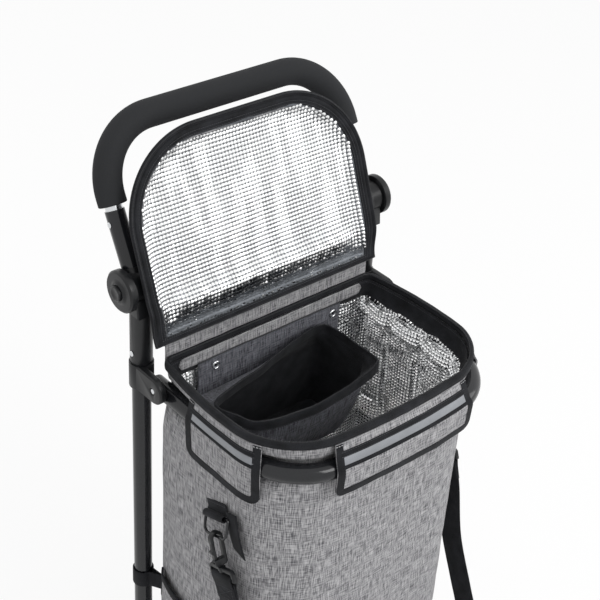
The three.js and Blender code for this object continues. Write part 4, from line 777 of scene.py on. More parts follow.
def grow(obj, tree, **values):
    """Runs a node tree on an object and keeps what it makes as the object's own mesh."""
    growth = obj.modifiers.new("Growth", "NODES")
    growth.node_group = tree
    for item in tree.interface.items_tree:
        if item.item_type == "SOCKET" and item.in_out == "INPUT" and item.name in values:
            growth[item.identifier] = values[item.name]
    plain_mesh(obj)
    if not obj.data.polygons:
        raise RuntimeError(f"{obj.name}: the node tree made nothing")
    return smoothed(obj, 50)


def grown(name, tree, runs, **values):
    """What a node tree makes of lines of points in millimetres, as a plain mesh."""
    verts, edges = [], []
    for points, closed in runs:
        first = len(verts)
        verts += [tuple(p) for p in place_rows(points)]
        edges += [(i, i + 1) for i in range(first, len(verts) - 1)]
        if closed:
            edges.append((len(verts) - 1, first))
    mesh = bpy.data.meshes.new(name)
    mesh.from_pydata(verts, edges, [])
    return grow(new_object(name, mesh), tree, **values)


def tube(name, line, radius, sides=10, closed=False):
    """A round tube, cord or piping along a line."""
    return grown(name, tube_tree(), [(line, closed)], Radius=radius * MM, Sides=sides)


def zip_coil(name, line, sizes, width=2.2, body="frame"):
    """The teeth of a coil zip round a closed line."""
    coil = grown(name, repeat_tree(), [(line, True)], Pitch=sizes.tooth, Length=0.9 * MM,
                 Width=width * MM, Unevenness=0.04)
    return set_down(coil, "coil", body=body)


def stitches(name, runs, sizes, thread="dark_thread", body="frame"):
    """Rows of stitches along lines on a cloth."""
    obj = grown(name, repeat_tree(), [(run, False) for run in runs], Material=palette()[thread],
                Pitch=sizes.stitch + sizes.stitch_gap, Length=sizes.stitch, Width=0.8 * MM)
    return set_down(obj, thread, body=body)


def foil_bubbles(name, places, facings, rises, form, body):
    """Bubbles on a foil at places in metres; form is their height, sides, and foot and crown per pitch."""
    height, sides, foot, crown = form
    mesh = bpy.data.meshes.new(name)
    mesh.from_pydata([tuple(p) for p in places], [], [])
    for label, kind, key, values in (("Facing", "FLOAT_VECTOR", "vector", facings),
                                     ("Rise", "FLOAT", "value", rises)):
        attribute = mesh.attributes.new(label, kind, "POINT")
        attribute.data.foreach_set(key, np.array(values, np.float32).ravel())
    obj = grow(new_object(name, mesh), bubble_tree(), Pitch=bpy.context.scene.trolley_sizes.bubble,
               Height=height * MM, Sides=sides, Foot=foot, Crown=crown, Material=palette()["bubbles"])
    # Four-sided bubbles keep their facets, rounder ones are shaded as domes
    return set_down(smoothed(obj, 20 if sides == 4 else 75), "bubbles", body=body)


def surface_of(obj):
    """The mesh of a piece, to be asked for its nearest point or what a ray meets, and the normal there."""
    mesh = obj.data
    return BVHTree.FromPolygons([v.co for v in mesh.vertices], [tuple(p.vertices) for p in mesh.polygons])


def set_down(obj, finish, *stands_for, body="frame", slot=None, coat=True):
    """Gives a finished piece its material and its body, and hides the nodes that it stands for; its slot is
    worked out but not given to it. A piece that already has its materials takes no coat."""
    if coat:
        obj.data.materials.clear()
        obj.data.materials.append(palette()[finish])
    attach(obj, body)
    slot or SLOT_FOR[finish]
    if stands_for:
        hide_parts(*stands_for)
    return obj


# Materials


class Look:
    """A principled material and the steps that its textures share."""

    def __init__(self, name, **inputs):
        self.material = bpy.data.materials.new(name)
        self.material.use_nodes = True
        self.tree = self.material.node_tree
        self.tree.nodes.clear()
        self.shader = self.add("ShaderNodeBsdfPrincipled", inputs)
        self.add("ShaderNodeOutputMaterial", {"Surface": self.shader.outputs["BSDF"]})

    def add(self, kind, inputs=None, stops=None, **settings):
        return add(self.tree, kind, inputs, stops, **settings)

    def maths(self, operation, *values):
        return maths(self.tree, operation, *values)

    def feed(self, name, output):
        self.tree.links.new(output, self.shader.inputs[name])

    def cloth_map(self):
        return self.add("ShaderNodeUVMap", uv_map="Cloth").outputs["UV"]

    def stretched(self, spot, scale):
        return self.add("ShaderNodeMapping", {"Vector": spot, "Scale": scale}).outputs["Vector"]

    def noise(self, spot, scale, detail, flat="2D", output=0, **inputs):
        return self.add("ShaderNodeTexNoise", {"Vector": spot, "Scale": scale, "Detail": detail, **inputs},
                        noise_dimensions=flat).outputs[output]

    def wave(self, spot, pitch, direction, **inputs):
        """Ribs across a direction of the map, one to each pitch."""
        return self.add("ShaderNodeTexWave", {"Vector": spot, "Scale": RIB_SCALE / pitch, **inputs},
                        bands_direction=direction).outputs["Fac"]

    def mapped(self, value, low, high, to_low=0.0, to_high=1.0):
        return self.add("ShaderNodeMapRange", {
            "Value": value, "From Min": low, "From Max": high, "To Min": to_low, "To Max": to_high}
            ).outputs["Result"]

    def mixed(self, share, first, second):
        return self.add("ShaderNodeMix", {0: share, 2: first, 3: second}, data_type="FLOAT").outputs[0]

    def shade(self, value, *stops):
        """The base colour: shades at places along a value."""
        ramp = self.add("ShaderNodeValToRGB", {"Fac": value}, [(place, tuple(tone)) for place, tone in stops])
        self.feed("Base Color", ramp.outputs["Color"])

    def relief(self, height, depth, strength):
        """Raises the surface by a depth in millimetres; gives the finished material."""
        bump = self.add("ShaderNodeBump", {"Height": height, "Distance": depth * MM, "Strength": strength})
        self.feed("Normal", bump.outputs["Normal"])
        return self.material


def melange(name, light, dark, sizes, sheen):
    """Melange oxford cloth: polyester yarns of pale and dark fibres woven one over one, backed with film.
    The eye sees short pale and dark runs along both yarns, a fine grid of crossings and a dry surface."""
    look = Look(name, **{"Roughness": 0.86, "Specular IOR Level": 0.25, "Sheen Weight": sheen,
                         "Sheen Roughness": 0.5})
    spot = look.cloth_map()
    across, along = 1 / sizes.yarn, 1 / sizes.slub
    runs = [look.mapped(look.noise(look.stretched(spot, scale), 1.0, 1.0, Roughness=0.8), 0.39, 0.61)
            for scale in ((along, across, 1), (across, along, 1))]
    both = look.mixed(0.58, *runs)
    middle = [(a + b) / 2 for a, b in zip(dark, light)]
    look.shade(both, (0.1, dark), (0.5, middle), (0.9, light))
    ridges = [look.wave(spot, sizes.yarn, direction, **{"Distortion": 0.6, "Detail Scale": 2.0})
              for direction in ("X", "Y")]
    crossings = look.maths("MULTIPLY", *ridges)
    return look.relief(look.maths("ADD", crossings, both), 0.25, 0.55)


def black_tape(name, colours, rib):
    """Woven polyester tape and webbing, dyed black: ribs run across it, and their tops catch a dull light."""
    look = Look(name, **{"Roughness": 0.8, "Specular IOR Level": 0.2, "Sheen Weight": 0.05})
    spot = look.cloth_map()
    fibres = look.mixed(0.5, look.noise(spot, 900.0, 2.0), look.noise(spot, 45.0, 2.0))
    look.shade(fibres, (0.32, colours.tape_dark), (0.68, colours.tape_light))
    return look.relief(look.wave(spot, rib * MM, "Y", Distortion=0.8, Detail=1.0), 0.2, 0.6)


def reflective_tape(colours):
    """Silver-grey reflective tape: glass beads in a resin film, a flat satin grey with a fine grain."""
    look = Look("Reflective beaded tape", Roughness=0.42, Metallic=0.25)
    spot = look.cloth_map()
    beads = look.noise(spot, 1400.0, 1.0)
    worn = look.mixed(0.5, beads, look.noise(spot, 35.0, 3.0))
    look.shade(worn, (0.3, [c * 0.72 for c in colours.stripe]), (0.65, colours.stripe))
    return look.relief(beads, 0.08, 0.4)


def bubble_foil(colours, sizes):
    """Metallised film on bubble foam, embossed in a square grid: the film is bright, and coloured darker in
    the hollows between four bubbles as painted shade. Its bubbles sag into level rows, bright above and dark
    below."""
    look = Look("Embossed lining foil", Metallic=1.0, Roughness=0.24)
    spot = look.cloth_map()
    shift = look.add("ShaderNodeVectorMath", {
        0: look.noise(spot, 45.0, 2.0, output="Color"), 1: (0.0034, 0.0034, 0)}, operation="MULTIPLY")
    creased = look.add("ShaderNodeVectorMath", {0: spot, 1: shift.outputs[0]}, operation="ADD")
    places = look.add("ShaderNodeSeparateXYZ", {0: creased.outputs[0]}).outputs
    turns = [look.maths("MULTIPLY", places[axis], math.pi / sizes.bubble) for axis in ("X", "Y")]
    dome, pit = (look.maths("ABSOLUTE", look.maths("MULTIPLY", *[look.maths(kind, t) for t in turns]))
                 for kind in ("SINE", "COSINE"))
    # Bubbles pressed flat in upright streaks, where the sheet was rolled; the painted shade between the
    # bubbles is weaker there
    streak = look.noise(look.stretched(spot, (46.0, 9.0, 1.0)), 1.0, 2.0)
    # Painted shade: the hollows between four bubbles are coloured darker, for the shade that falls in them
    valley_shade = look.maths("MULTIPLY", pit, look.mapped(streak, 0.36, 0.6, 0.7, 1.0))
    look.shade(valley_shade, (0.42, colours.foil), (0.8, colours.foil_valley_shade))
    row = look.maths("PINGPONG", places["Y"], sizes.bubble / 2)
    sag = look.maths("MULTIPLY_ADD", dome, 0.2, look.maths("MULTIPLY", row, 1.6 / sizes.bubble))
    crinkle = look.noise(spot, 380.0, 3.0)
    return look.relief(look.maths("MULTIPLY_ADD", crinkle, 0.35, sag), 3.2, 1.0)


def grained(name, shade, roughness, grain, depth, metallic=0.0, spread=0.25, gloss_level=0.5):
    """A hard or foamed surface with an even grain: the grain breaks the gloss, and handling marks vary it.
    Grain and depth are in millimetres; spread is how much the tone and the gloss wander."""
    look = Look(name, **{"Metallic": metallic, "Specular IOR Level": gloss_level})
    spot = look.add("ShaderNodeTexCoord").outputs["Object"]
    fine = look.noise(spot, 1 / (grain * MM), 2.0, "3D")
    broad = look.noise(spot, 28.0, 3.0, "3D")
    look.shade(look.mixed(0.6, fine, broad), (0.3, [c * (1 - spread) for c in shade]),
               (0.7, [min(1.0, c * (1 + spread)) for c in shade]))
    look.feed("Roughness", look.mapped(broad, 0.3, 0.7, roughness * (1 - spread / 2),
                                       min(1.0, roughness * (1 + spread / 2))))
    return look.relief(fine, depth, 0.5)


def palette():
    """Every material of the trolley, made once."""
    if palette_made:
        return palette_made
    colours = bpy.context.scene.trolley_colours
    sizes = bpy.context.scene.trolley_sizes
    palette_made.update({
        "melange": melange("Melange oxford cloth", colours.melange_light, colours.melange_dark, sizes, 0.15),
        "inner": melange("Dark melange oxford cloth", colours.inner_light, colours.inner_dark, sizes, 0.1),
        "tape": black_tape("Black woven tape", colours, 1.3),
        "webbing": black_tape("Black polyester webbing", colours, 2.1),
        "stripe": reflective_tape(colours),
        # The lid's film between its bubbles, welded to the backing and finely creased: its grey is painted
        # shade between the bubbles
        "lid_foil": grained("Welded foil in painted shade", colours.foil_valley_shade, 0.34, 2.6, 0.9, metallic=1.0, spread=0.35),
        "foil": bubble_foil(colours, sizes),
        # Aluminium film stretched over a bubble: bright, with fine creases
        "bubbles": grained("Foil on bubbles", colours.foil, 0.22, 2.2, 0.18, metallic=1.0, spread=0.1),
        # Powder coat over steel tube: smooth black with a faint orange peel and a clear highlight
        "paint": grained("Black powder coat", colours.paint, 0.15, 2.4, 0.012, spread=0.2,
                         gloss_level=0.42),
        # Glass-filled nylon from a spark-eroded mould: satin black with a fine even grain
        "plastic": grained("Moulded black nylon", colours.plastic, 0.36, 0.7, 0.05, gloss_level=0.35),
        # Nitrile foam tube: a matt skin with open pores, drawn coarse enough to show
        "foam": grained("Nitrile foam", colours.foam, 0.92, 1.1, 0.35, spread=0.16, gloss_level=0.3),
        # Zinc-plated steel: bright, slightly brushed
        "steel": grained("Zinc-plated steel", colours.steel, 0.22, 1.6, 0.02, metallic=1.0, spread=0.12),
        # Vulcanised rubber: matt charcoal that marks easily
        "rubber": grained("Moulded rubber", linear("#202123"), 0.85, 1.4, 0.12, spread=0.3),
        # Spun polyester thread: matt, pale in the bar tacks and nearly black elsewhere
        "thread": grained("Pale sewing thread", colours.thread, 0.7, 0.4, 0.05),
        "dark_thread": grained("Black sewing thread", linear("#3C3D41"), 0.7, 0.4, 0.05),
        # Nylon coil of a zip, and cord in piping: black with a soft gloss
        "coil": grained("Black nylon coil", linear("#242529"), 0.38, 0.6, 0.03),
    })
    return palette_made


palette_made = {}


# Pieces


def bag_displacement(ring, z):
    """How far the loaded cloth leaves its drawn wall: long shallow folds that fade out at the rim."""
    fade = soft(z, BAG_BOTTOM, BAG_BOTTOM + 60) * (1 - soft(z, 560, 625))
    return np.array([fade * (1.9 * rough((x, y, z * 0.22), 60, 3.0) + 0.9 * rough((x, y, z), 42, 8.0))
                     - 0.5 * fade for x, y, _ in ring])


def make_bag_shell():
    """The bag's outer cloth: a lofted shell that hangs in the ring, swells below it and creases."""
    heights = [*np.arange(BAG_BOTTOM + 1.2, BAG_BOTTOM + 10, 2), *np.arange(144, 600, 6.5),
               *np.arange(600, RIM - 4, 3)]
    rows = []
    for z in heights:
        ring = wall_ring(z, 0.2)
        rows.append(ring + outward(ring) * bag_displacement(ring, z)[:, None])
    shell = cloth_shell("bag_shell", shrunk(rows[0], (0.02, 0.4, 0.8, 0.95)) + rows)
    set_down(thicken(shell, 1.5), "melange", "bag_body")


def make_base_seam():
    """The piping sewn round the bag's foot."""
    ring = wall_ring(BAG_BOTTOM + 9, -0.2)
    set_down(tube("base_piping", ring, 1.6, closed=True), "coil")


def lining_panel(place, z, x, y):
    """Where a place lies between the lining's upright creases: 0 in a crease, 1 midway to the next."""
    wander = 9 * rough((x, y, z * 0.25), 70, 5.0)
    return abs(math.sin(math.pi * (place + wander) / 58))


def lining_fold(place, z, x, y):
    """How far the foil stands in from the wall: soft panels between upright creases."""
    return lining_panel(place, z, x, y) ** 0.42 + 0.24 * rough((x, y, z), 24, 2.0)


def make_foil_lining(sizes):
    """The insulated lining: foil with upright creases, gathered under the facing at the rim, and its
    bubbles in level rows where the open bag shows them."""
    low = BAG_BOTTOM + 10.3
    heights = [*np.arange(low, low + 12, 3), *np.arange(low + 18, 560, 9), *np.arange(560, RIM - 12, 3.5)]
    rows = []
    for z in heights:
        ring = wall_ring(max(z, BAG_BOTTOM + 10), 3.4)
        ring[:, 2] = z
        places = run_lengths(ring, True)
        calm = soft(z, low, low + 40) * (1 - 0.8 * soft(z, RIM - 55, RIM - 26))
        depth = np.array([lining_fold(p, z, x, y) for p, (x, y, _) in zip(places, ring)])
        held = 1 - 0.85 * soft_step(-ring[:, 1], 80, 44) * (z > 500)
        rows.append(ring - outward(ring) * (depth * calm * held * sizes.fold / MM)[:, None])
    lining = cloth_shell("foil_lining", shrunk(rows[0], (0.02, 0.35, 0.7, 0.93)) + rows, 180)

    surface = surface_of(lining)
    pitch = sizes.bubble / MM
    lean_forward = Vector((0, -0.55, 0.12))
    places, facings, rises = [], [], []
    for z in np.arange(RIM - 230, RIM - 30, pitch):
        ring = level(rows[min(range(len(heights)), key=lambda i: abs(heights[i] - z))][:, :2], z)
        lengths = run_lengths(ring, True)
        closed = looped(ring)
        creased = 0.1 + 0.5 * soft(z, RIM - 50, RIM - 34)
        for along in np.arange(0, lengths[-1], lengths[-1] / round(lengths[-1] / pitch)):
            x, y = (np.interp(along, lengths, closed[:, k]) for k in range(2))
            panel = lining_panel(along, z, x, y)
            spot, normal, _, _ = surface.find_nearest(at(x, y, z - 3.5 * panel))
            bent = noise.noise_vector(Vector((x, y, z)) / 7) * creased
            places.append(spot - normal * 0.9 * MM)
            facings.append((bent - normal + lean_forward).normalized())
            rises.append((0.25 + 0.75 * min(1.0, panel * 4)) * (1.0 + 0.2 * rough((x, y, z), 9, 3.0)))
    foil_bubbles("lining_bubbles", places, facings, rises, (2.2, 4, 0.68, 0.2), "frame")
    set_down(thicken(lining, 0.9), "foil", "bag_lining")


def make_rim(sizes):
    """The tape that binds the rim, the black facing inside it and the zip's coil along its top."""
    section = [(1.2, 9.6), (-0.5, 8.8), (-0.7, 5), (-0.5, 2.4), (0.8, 0.9), (3.2, 0.3), (5.4, 0.9),
               (6.4, 2.4), (6.5, 6), (6.2, 9), (4.2, 9.6)]
    loops = np.array([level(outline(BAG, inset), RIM - down) for inset, down in section])
    loops = loops.transpose(1, 0, 2)
    for loop in loops:
        loop[:, 2] += 0.5 * rough((*loop[0, :2], 0), 26, 4.0)
    set_down(swept("rim_binding", loops, closed=True), "tape", "rim_tape")

    rows = []
    for z in np.linspace(RIM - 8, RIM - sizes.facing / MM - 4, 9):
        ring = wall_ring(z, 5.1)
        wave = np.array([0.5 * rough((x, y, z), 20, 6.0) for x, y, _ in ring])
        rows.append(ring - outward(ring) * (0.5 + wave)[:, None])
    set_down(thicken(cloth_shell("rim_facing", rows, floor=False), 0.8), "tape")
    seams = [looped(row - outward(row) * lift) for row, lift in ((rows[-2], 0.5), (rows[1], 0.6))]
    stitches("facing_stitches", seams, sizes)
    zip_coil("rim_zip_coil", level(outline(BAG, 5.6), RIM - 0.9), sizes)


def from_middle(point):
    """The direction from the bag's middle to a point, level with the floor."""
    away = np.array([point[0] - BAG["shift"], point[1] + 140, 0.0])
    return away / np.linalg.norm(away)


def flap_drape(key, start, end, drop_to, left_side):
    """The line of a flap from the seam under the rim tape, over the ring and down outside the bag. It
    reaches between two values of x (key 0) or y (key 1)."""
    # Height, how far over the ring, and how close to it
    levels = [(RIM - 9.3, 0, 0), (RING_HEIGHT + 12.5, 0.7, 0), (RING_HEIGHT + 6.25, 1, 0),
              (RING_HEIGHT - 6.25, 1, 0), (RING_HEIGHT - 26, 1, 1), (RIM - drop_to, 1, 2)]
    lines = []
    for z, over, drop in levels:
        free = outline(BAG, 0.2)
        held = outline(RING, drop - PINCH_GAP - 0.6)
        ring = level(free * (1 - over) + held * over, z)
        if key == 1:
            ring = ring[ring[:, 0] < 0] if left_side else ring[ring[:, 0] > 0]
            ring = ring[(ring[:, 1] < -34) & (ring[:, 1] > -262)]
        else:
            ring = ring[ring[:, 1] < -200]
        flare = math.copysign(5.0 * over, end - start)
        lines.append(section_of(ring, key, start - flare, end + flare, 61))
    lines = np.array(lines)
    grid = np.array([smooth_line(lines[:, c], 46) for c in range(lines.shape[1])]).transpose(1, 0, 2)
    for share, row in zip(np.linspace(0, 1, len(grid)), grid):
        for c, (x, y, z) in enumerate(row.copy()):
            wave = 1.5 * rough((x, y, z * 0.4), 34, 9.0) * share ** 2
            row[c] += from_middle((x, y)) * (wave + 0.6 * share)
    return Drape(grid, from_middle)


def make_flap(name, drape, sizes, corner=15.0):
    """One flap: cloth with round lower corners, its bands, its reflective stripe and its binding."""
    width, height = drape.width, drape.height
    steps = 34

    def lowest(across):
        near = min(across, width - across, corner)
        return height - corner + math.sqrt(corner ** 2 - (corner - near) ** 2)

    stops = np.concatenate([np.linspace(0, corner, 9), np.linspace(corner, width - corner, 42)[1:-1],
                            np.linspace(width - corner, width, 9)])
    rows = [[drape.point(a, lowest(a) * share) for a in stops] for share in np.linspace(0, 1, steps)]
    cloth = cloth_sheet(name, rows, 1.2, u=stops * MM, v=np.linspace(0, height, steps) * MM)
    stem = name.replace("_cloth", "")
    set_down(cloth, "melange", stem)
    wide = sizes.binding / MM
    left = [(0, d) for d in np.linspace(1.5, height - corner, 24)]
    left += [(corner - corner * math.cos(t), height - corner + corner * math.sin(t))
             for t in np.linspace(0, QUARTER, 9)[1:]]
    foot = [(a, height) for a in np.linspace(corner, width - corner, 40)[1:-1]]
    edge = left + foot + [(width - a, d) for a, d in left[::-1]]
    trims = [set_down(drape.band(f"{stem}_binding", edge, -wide, 0.7, 0.75, wrap=True), "tape")]

    top = sizes.top_strip / MM
    first, second, stripe = sizes.first_band / MM, sizes.second_band / MM, sizes.stripe / MM
    reach = np.linspace(wide - 1.5, width - wide + 1.5, 60)
    bands = {
        "upper_band": (top + first / 2, first, 0.9, "tape"),
        "stripe": (top + first + stripe / 2, stripe, 0.6, "stripe"),
        "lower_band": (top + first + stripe + second / 2, second, 0.9, "tape"),
    }
    for part, (down, size, thick, finish) in bands.items():
        path = [(a, down + 0.5 * rough((a, down, 0), 30, 2.0)) for a in reach]
        trims.append(set_down(drape.band(f"{stem}_{part}", path, size, thick, 0.6), finish))
    tacks = [[drape.point(side + off, 3.0, 1.7) for off in np.linspace(-wide / 2.6, wide / 2.6, 8)]
             for side in (wide / 2, width - wide / 2)]
    trims.append(stitches(f"{stem}_bar_tacks", tacks, sizes, "thread"))
    seams = [[drape.point(a, down, 1.7) for a in reach] for down in (top + first - 1.2, top + 1.2)]
    trims.append(stitches(f"{stem}_stitches", seams, sizes))


def make_side_pocket(sizes):
    """The patch pocket low on the left side, with a slanted bound hem."""
    back, front, foot = -44.0, -214.0, BAG_BOTTOM + 24
    rows = []
    for up in np.linspace(1, 0, 30):
        line = []
        for share in np.linspace(0, 1, 50):
            y = back + (front - back) * share
            z = foot + (RIM - 341 - 36 * share - foot) * up
            edge = min(1.0, share / 0.07, (1 - share) / 0.07)
            bulge = math.sin(QUARTER * edge) * math.sin(QUARTER * min(1.0, up / 0.1))
            stand = 1.3 + (5.2 + 1.6 * math.sin(math.pi * share)) * bulge
            stand += 0.8 * rough((0, y, z), 30, 3.0) * bulge
            line.append(section_of(wall_side(z, -stand, -30, -258), 1, y, y, 1)[0])
        rows.append(line)
    drape = Drape(rows, lambda point: (-1, 0, 0))
    set_down(cloth_sheet("side_pocket_cloth", rows, 1.2), "melange", "side_pocket")
    hem = [(a, 0) for a in np.linspace(0, drape.width, 50)]
    set_down(drape.band("side_pocket_hem", hem, sizes.binding / MM, 0.7, 0.75, wrap=True), "tape")
    right, low = drape.width - 3, drape.height - 3
    runs = [[drape.point(a, low, 1.0) for a in np.linspace(3, right, 50)]]
    runs += [[drape.point(a, d, 1.0) for d in np.linspace(10, low, 40)] for a in (3, right)]
    stitches("side_pocket_stitches", runs, sizes)


def make_back_panel():
    """The dark panel on the back wall that carries the press-studs, its piping and the strip above it."""
    front = PANEL["front"]
    rows = [[(x, front - 0.3 + 0.24 * rough((x, 0, z), 30, 7.0), z + 1.6 * rough((x, 0, 0), 60, 1.0))
             for x in np.linspace(PANEL["left"], PANEL["right"], 60)]
            for z in np.linspace(PANEL["top"], PANEL["bottom"], 14)]
    set_down(cloth_sheet("stud_panel_cloth", rows, 1.6), "inner", "stud_panel")
    edge = [(x, y - 0.9, z + 0.3) for x, y, z in rows[0]]
    set_down(tube("panel_piping", edge, 1.1), "coil")

    left, right, half_height, middle = -158, 152, 8.4, RIM - 16.6
    rows = []
    for share in np.linspace(0, 1, 8):
        line = []
        for x in np.linspace(left, right, 70):
            end = min(1.0, (x - left) / 8, (right - x) / 8)
            z = middle + half_height * math.sqrt(1 - (1 - end) ** 2) * (1 - 2 * share)
            line.append((x, front + 0.7 + 0.3 * rough((x, 0, z), 26, 5.0), z))
        rows.append(line)
    set_down(cloth_sheet("back_strip", rows, 1.2, v=np.linspace(0, 2 * half_height, 8) * MM), "melange")


def turned_piece(name, profile, place, sides=36):
    """A body turned about a line that runs to the front; the profile gives radius and reach forward."""
    return swept(name, [[(place[0] + r * math.cos(t), place[1] - forward, place[2] + r * math.sin(t))
                         for t in np.linspace(0, 2 * math.pi, sides, endpoint=False)]
                        for r, forward in profile])


def make_press_studs():
    """The two snap fasteners on the panel: a rolled chrome rim round a dark socket."""
    rim = [(6.0, 0), (6.4, 0.8), (6.1, 1.9), (5.2, 2.5), (4.3, 2.2), (3.9, 1.2), (3.9, 0.2)]
    socket = [(3.9, 0.1), (3.85, 0.7), (2.2, 0.7), (1.9, 1.3), (0.9, 1.5)]
    for name in ("left", "right"):
        low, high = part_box(f"press_stud_{name}")
        place = ((low.x + high.x) / 2 / MM, (high.y - LEG_Y) / MM, (low.z + high.z) / 2 / MM)
        set_down(turned_piece(f"press_stud_rim_{name}", rim, place), "steel", f"press_stud_{name}")
        set_down(turned_piece(f"press_stud_socket_{name}", socket, place), "plastic")


def pouch_ring(name):
    """A plan of the pouch as 120 even points, from its left back corner."""
    shares = POUCH_PLANS[name]
    flat = [(POUCH_LEFT + POUCH_WIDTH * a, PANEL["front"] - 0.4 - POUCH_DEPTH * d) for a, d in shares]
    loop = smooth_line(flat[-2:] + flat + flat[:2], 14 * 15)
    # The smooth line overlaps itself at both ends: it is cut where it passes the first corner
    start, end = (np.argmin(np.linalg.norm(loop[first:last] - np.array(flat[0]), axis=1)) + first
                  for first, last in ((0, 60), (150, 210)))
    ring = loop[start:end]
    ring[:, 1] = np.minimum(ring[:, 1], PANEL["front"] - 1.2)
    places = run_lengths(ring, True)
    wanted = np.linspace(0, places[-1], 121)[:-1]
    closed = looped(ring)
    return np.stack([np.interp(wanted, places, closed[:, k]) for k in range(2)], -1)


def make_pouch(sizes):
    """The inner pouch: a soft dark bag whose zipped mouth stands open."""
    mouth, middle, foot = (pouch_ring(name) for name in ("mouth", "middle", "foot"))
    rows = []
    for z in [*np.linspace(POUCH_FOOT, POUCH_MIDDLE, 26), *np.linspace(POUCH_MIDDLE, POUCH_TOP, 16)[1:]]:
        low = min(1.0, (z - POUCH_FOOT) / (POUCH_MIDDLE - POUCH_FOOT))
        high = max(0.0, (z - POUCH_MIDDLE) / (POUCH_TOP - POUCH_MIDDLE))
        flat = foot + (middle - foot) * math.sin(low * QUARTER) + (mouth - middle) * high ** 1.2
        ring = level(flat, z)
        free = soft_step(-ring[:, 1], 44, 60)
        wave = np.array([1.8 * rough((x, y, z * 0.8), 34, 6.0) for x, y, _ in ring]) * free
        ring[:, 2] += np.array([2.2 * rough((x, y, 0), 40, 2.5) for x, y, _ in ring]) * high
        rows.append(ring + outward(ring) * wave[:, None])
    pouch = cloth_shell("inner_pouch_cloth", shrunk(rows[0], (0.03, 0.5, 0.9)) + rows)
    # Cloth outside, and a black backing inside
    for finish in ("inner", "tape"):
        pouch.data.materials.append(palette()[finish])
    set_down(thicken(pouch, 1.3, inner_slot=1), "inner", "inner_pouch", coat=False)

    def edge(depth, out):
        """A line round the mouth, so far below its edge and so far out of its cloth."""
        ring = rows[-1].copy()
        ring[:, 2] -= depth
        return ring + outward(ring) * out

    section = [(12.5, 0.3), (12.3, 1.0), (6, 1.1), (0.6, 1.0), (-1.0, 0.0), (-0.8, -2.4), (5, -2.6),
               (11.5, -2.4), (12, -1.8)]
    loops = np.array([edge(*place) for place in section]).transpose(1, 0, 2)
    set_down(swept("pouch_zip_tape", loops, closed=True), "tape")
    zip_coil("pouch_zip_coil", edge(-1.0, -1.4), sizes, 2.0)
    stitches("pouch_stitches", [looped(edge(11.2, 1.2))], sizes)


def lid_outline(inset, lift):
    """The lid's outline as across and height in its own frame, from its left foot round to its right."""
    half, base, top = (size - inset for size in (LID_HALF, LID_BASE_HALF, LID_LENGTH))
    across, along = (size - inset for size in LID_CORNER)
    taper, foot = 0.5 + LID_TAPER, 0.5 + lift
    straight = top - along
    left = [(-base - (half - base) * t, foot + (taper - foot) * t) for t in np.linspace(0, 1, 12)[:-1]]
    left += [(-half, z) for z in np.linspace(taper, straight, 12)[:-1]]
    left += [(-half + across - across * math.cos(t), straight + along * math.sin(t))
             for t in np.linspace(0, QUARTER, 26)]
    flat = [(x, top) for x in np.linspace(-half + across, half - across, 16)[1:-1]]
    right = [(-x, z) for x, z in left[::-1]]
    base_line = [(x, foot) for x in np.linspace(base, -base, 40)[1:-1]]
    return np.array(left + flat + right + base_line)


def lid_ring(inset, depth, lift=0.0):
    """The lid's outline moved in, at a depth from its back and lifted off its foot."""
    return level(lid_outline(inset, lift), depth)[:, (0, 2, 1)]


def inside(edge, x, y):
    """Whether a place lies inside a closed line of points."""
    within = False
    for (ax, ay), (bx, by) in zip(edge, edge[1:] + edge[:1]):
        if (ay > y) != (by > y) and x < ax + (y - ay) * (bx - ax) / (by - ay):
            within = not within
    return within


def lid_sheet(name, profile, wander, facing):
    """A sheet over the lid: rings by inset, depth and lift, then the last ring drawn in to its middle."""
    rings = [lid_ring(*step) for step in profile]
    rings = np.array(rings + shrunk(rings[-1], np.linspace(1, 0, 34)[1:-1]))
    flat = rings[:, :, (0, 2)] * MM
    for point in rings.reshape(-1, 3):
        point[1] += wander(point[0], point[2])
    obj = tidy_mesh(skin(name, on_lid(rings), lambda r, c: flat[r, c % flat.shape[1]],
                         caps=(len(rings) - 1,)), 180)
    if obj.data.polygons[-1].normal.y * facing > 0:
        obj.data.flip_normals()
    return obj


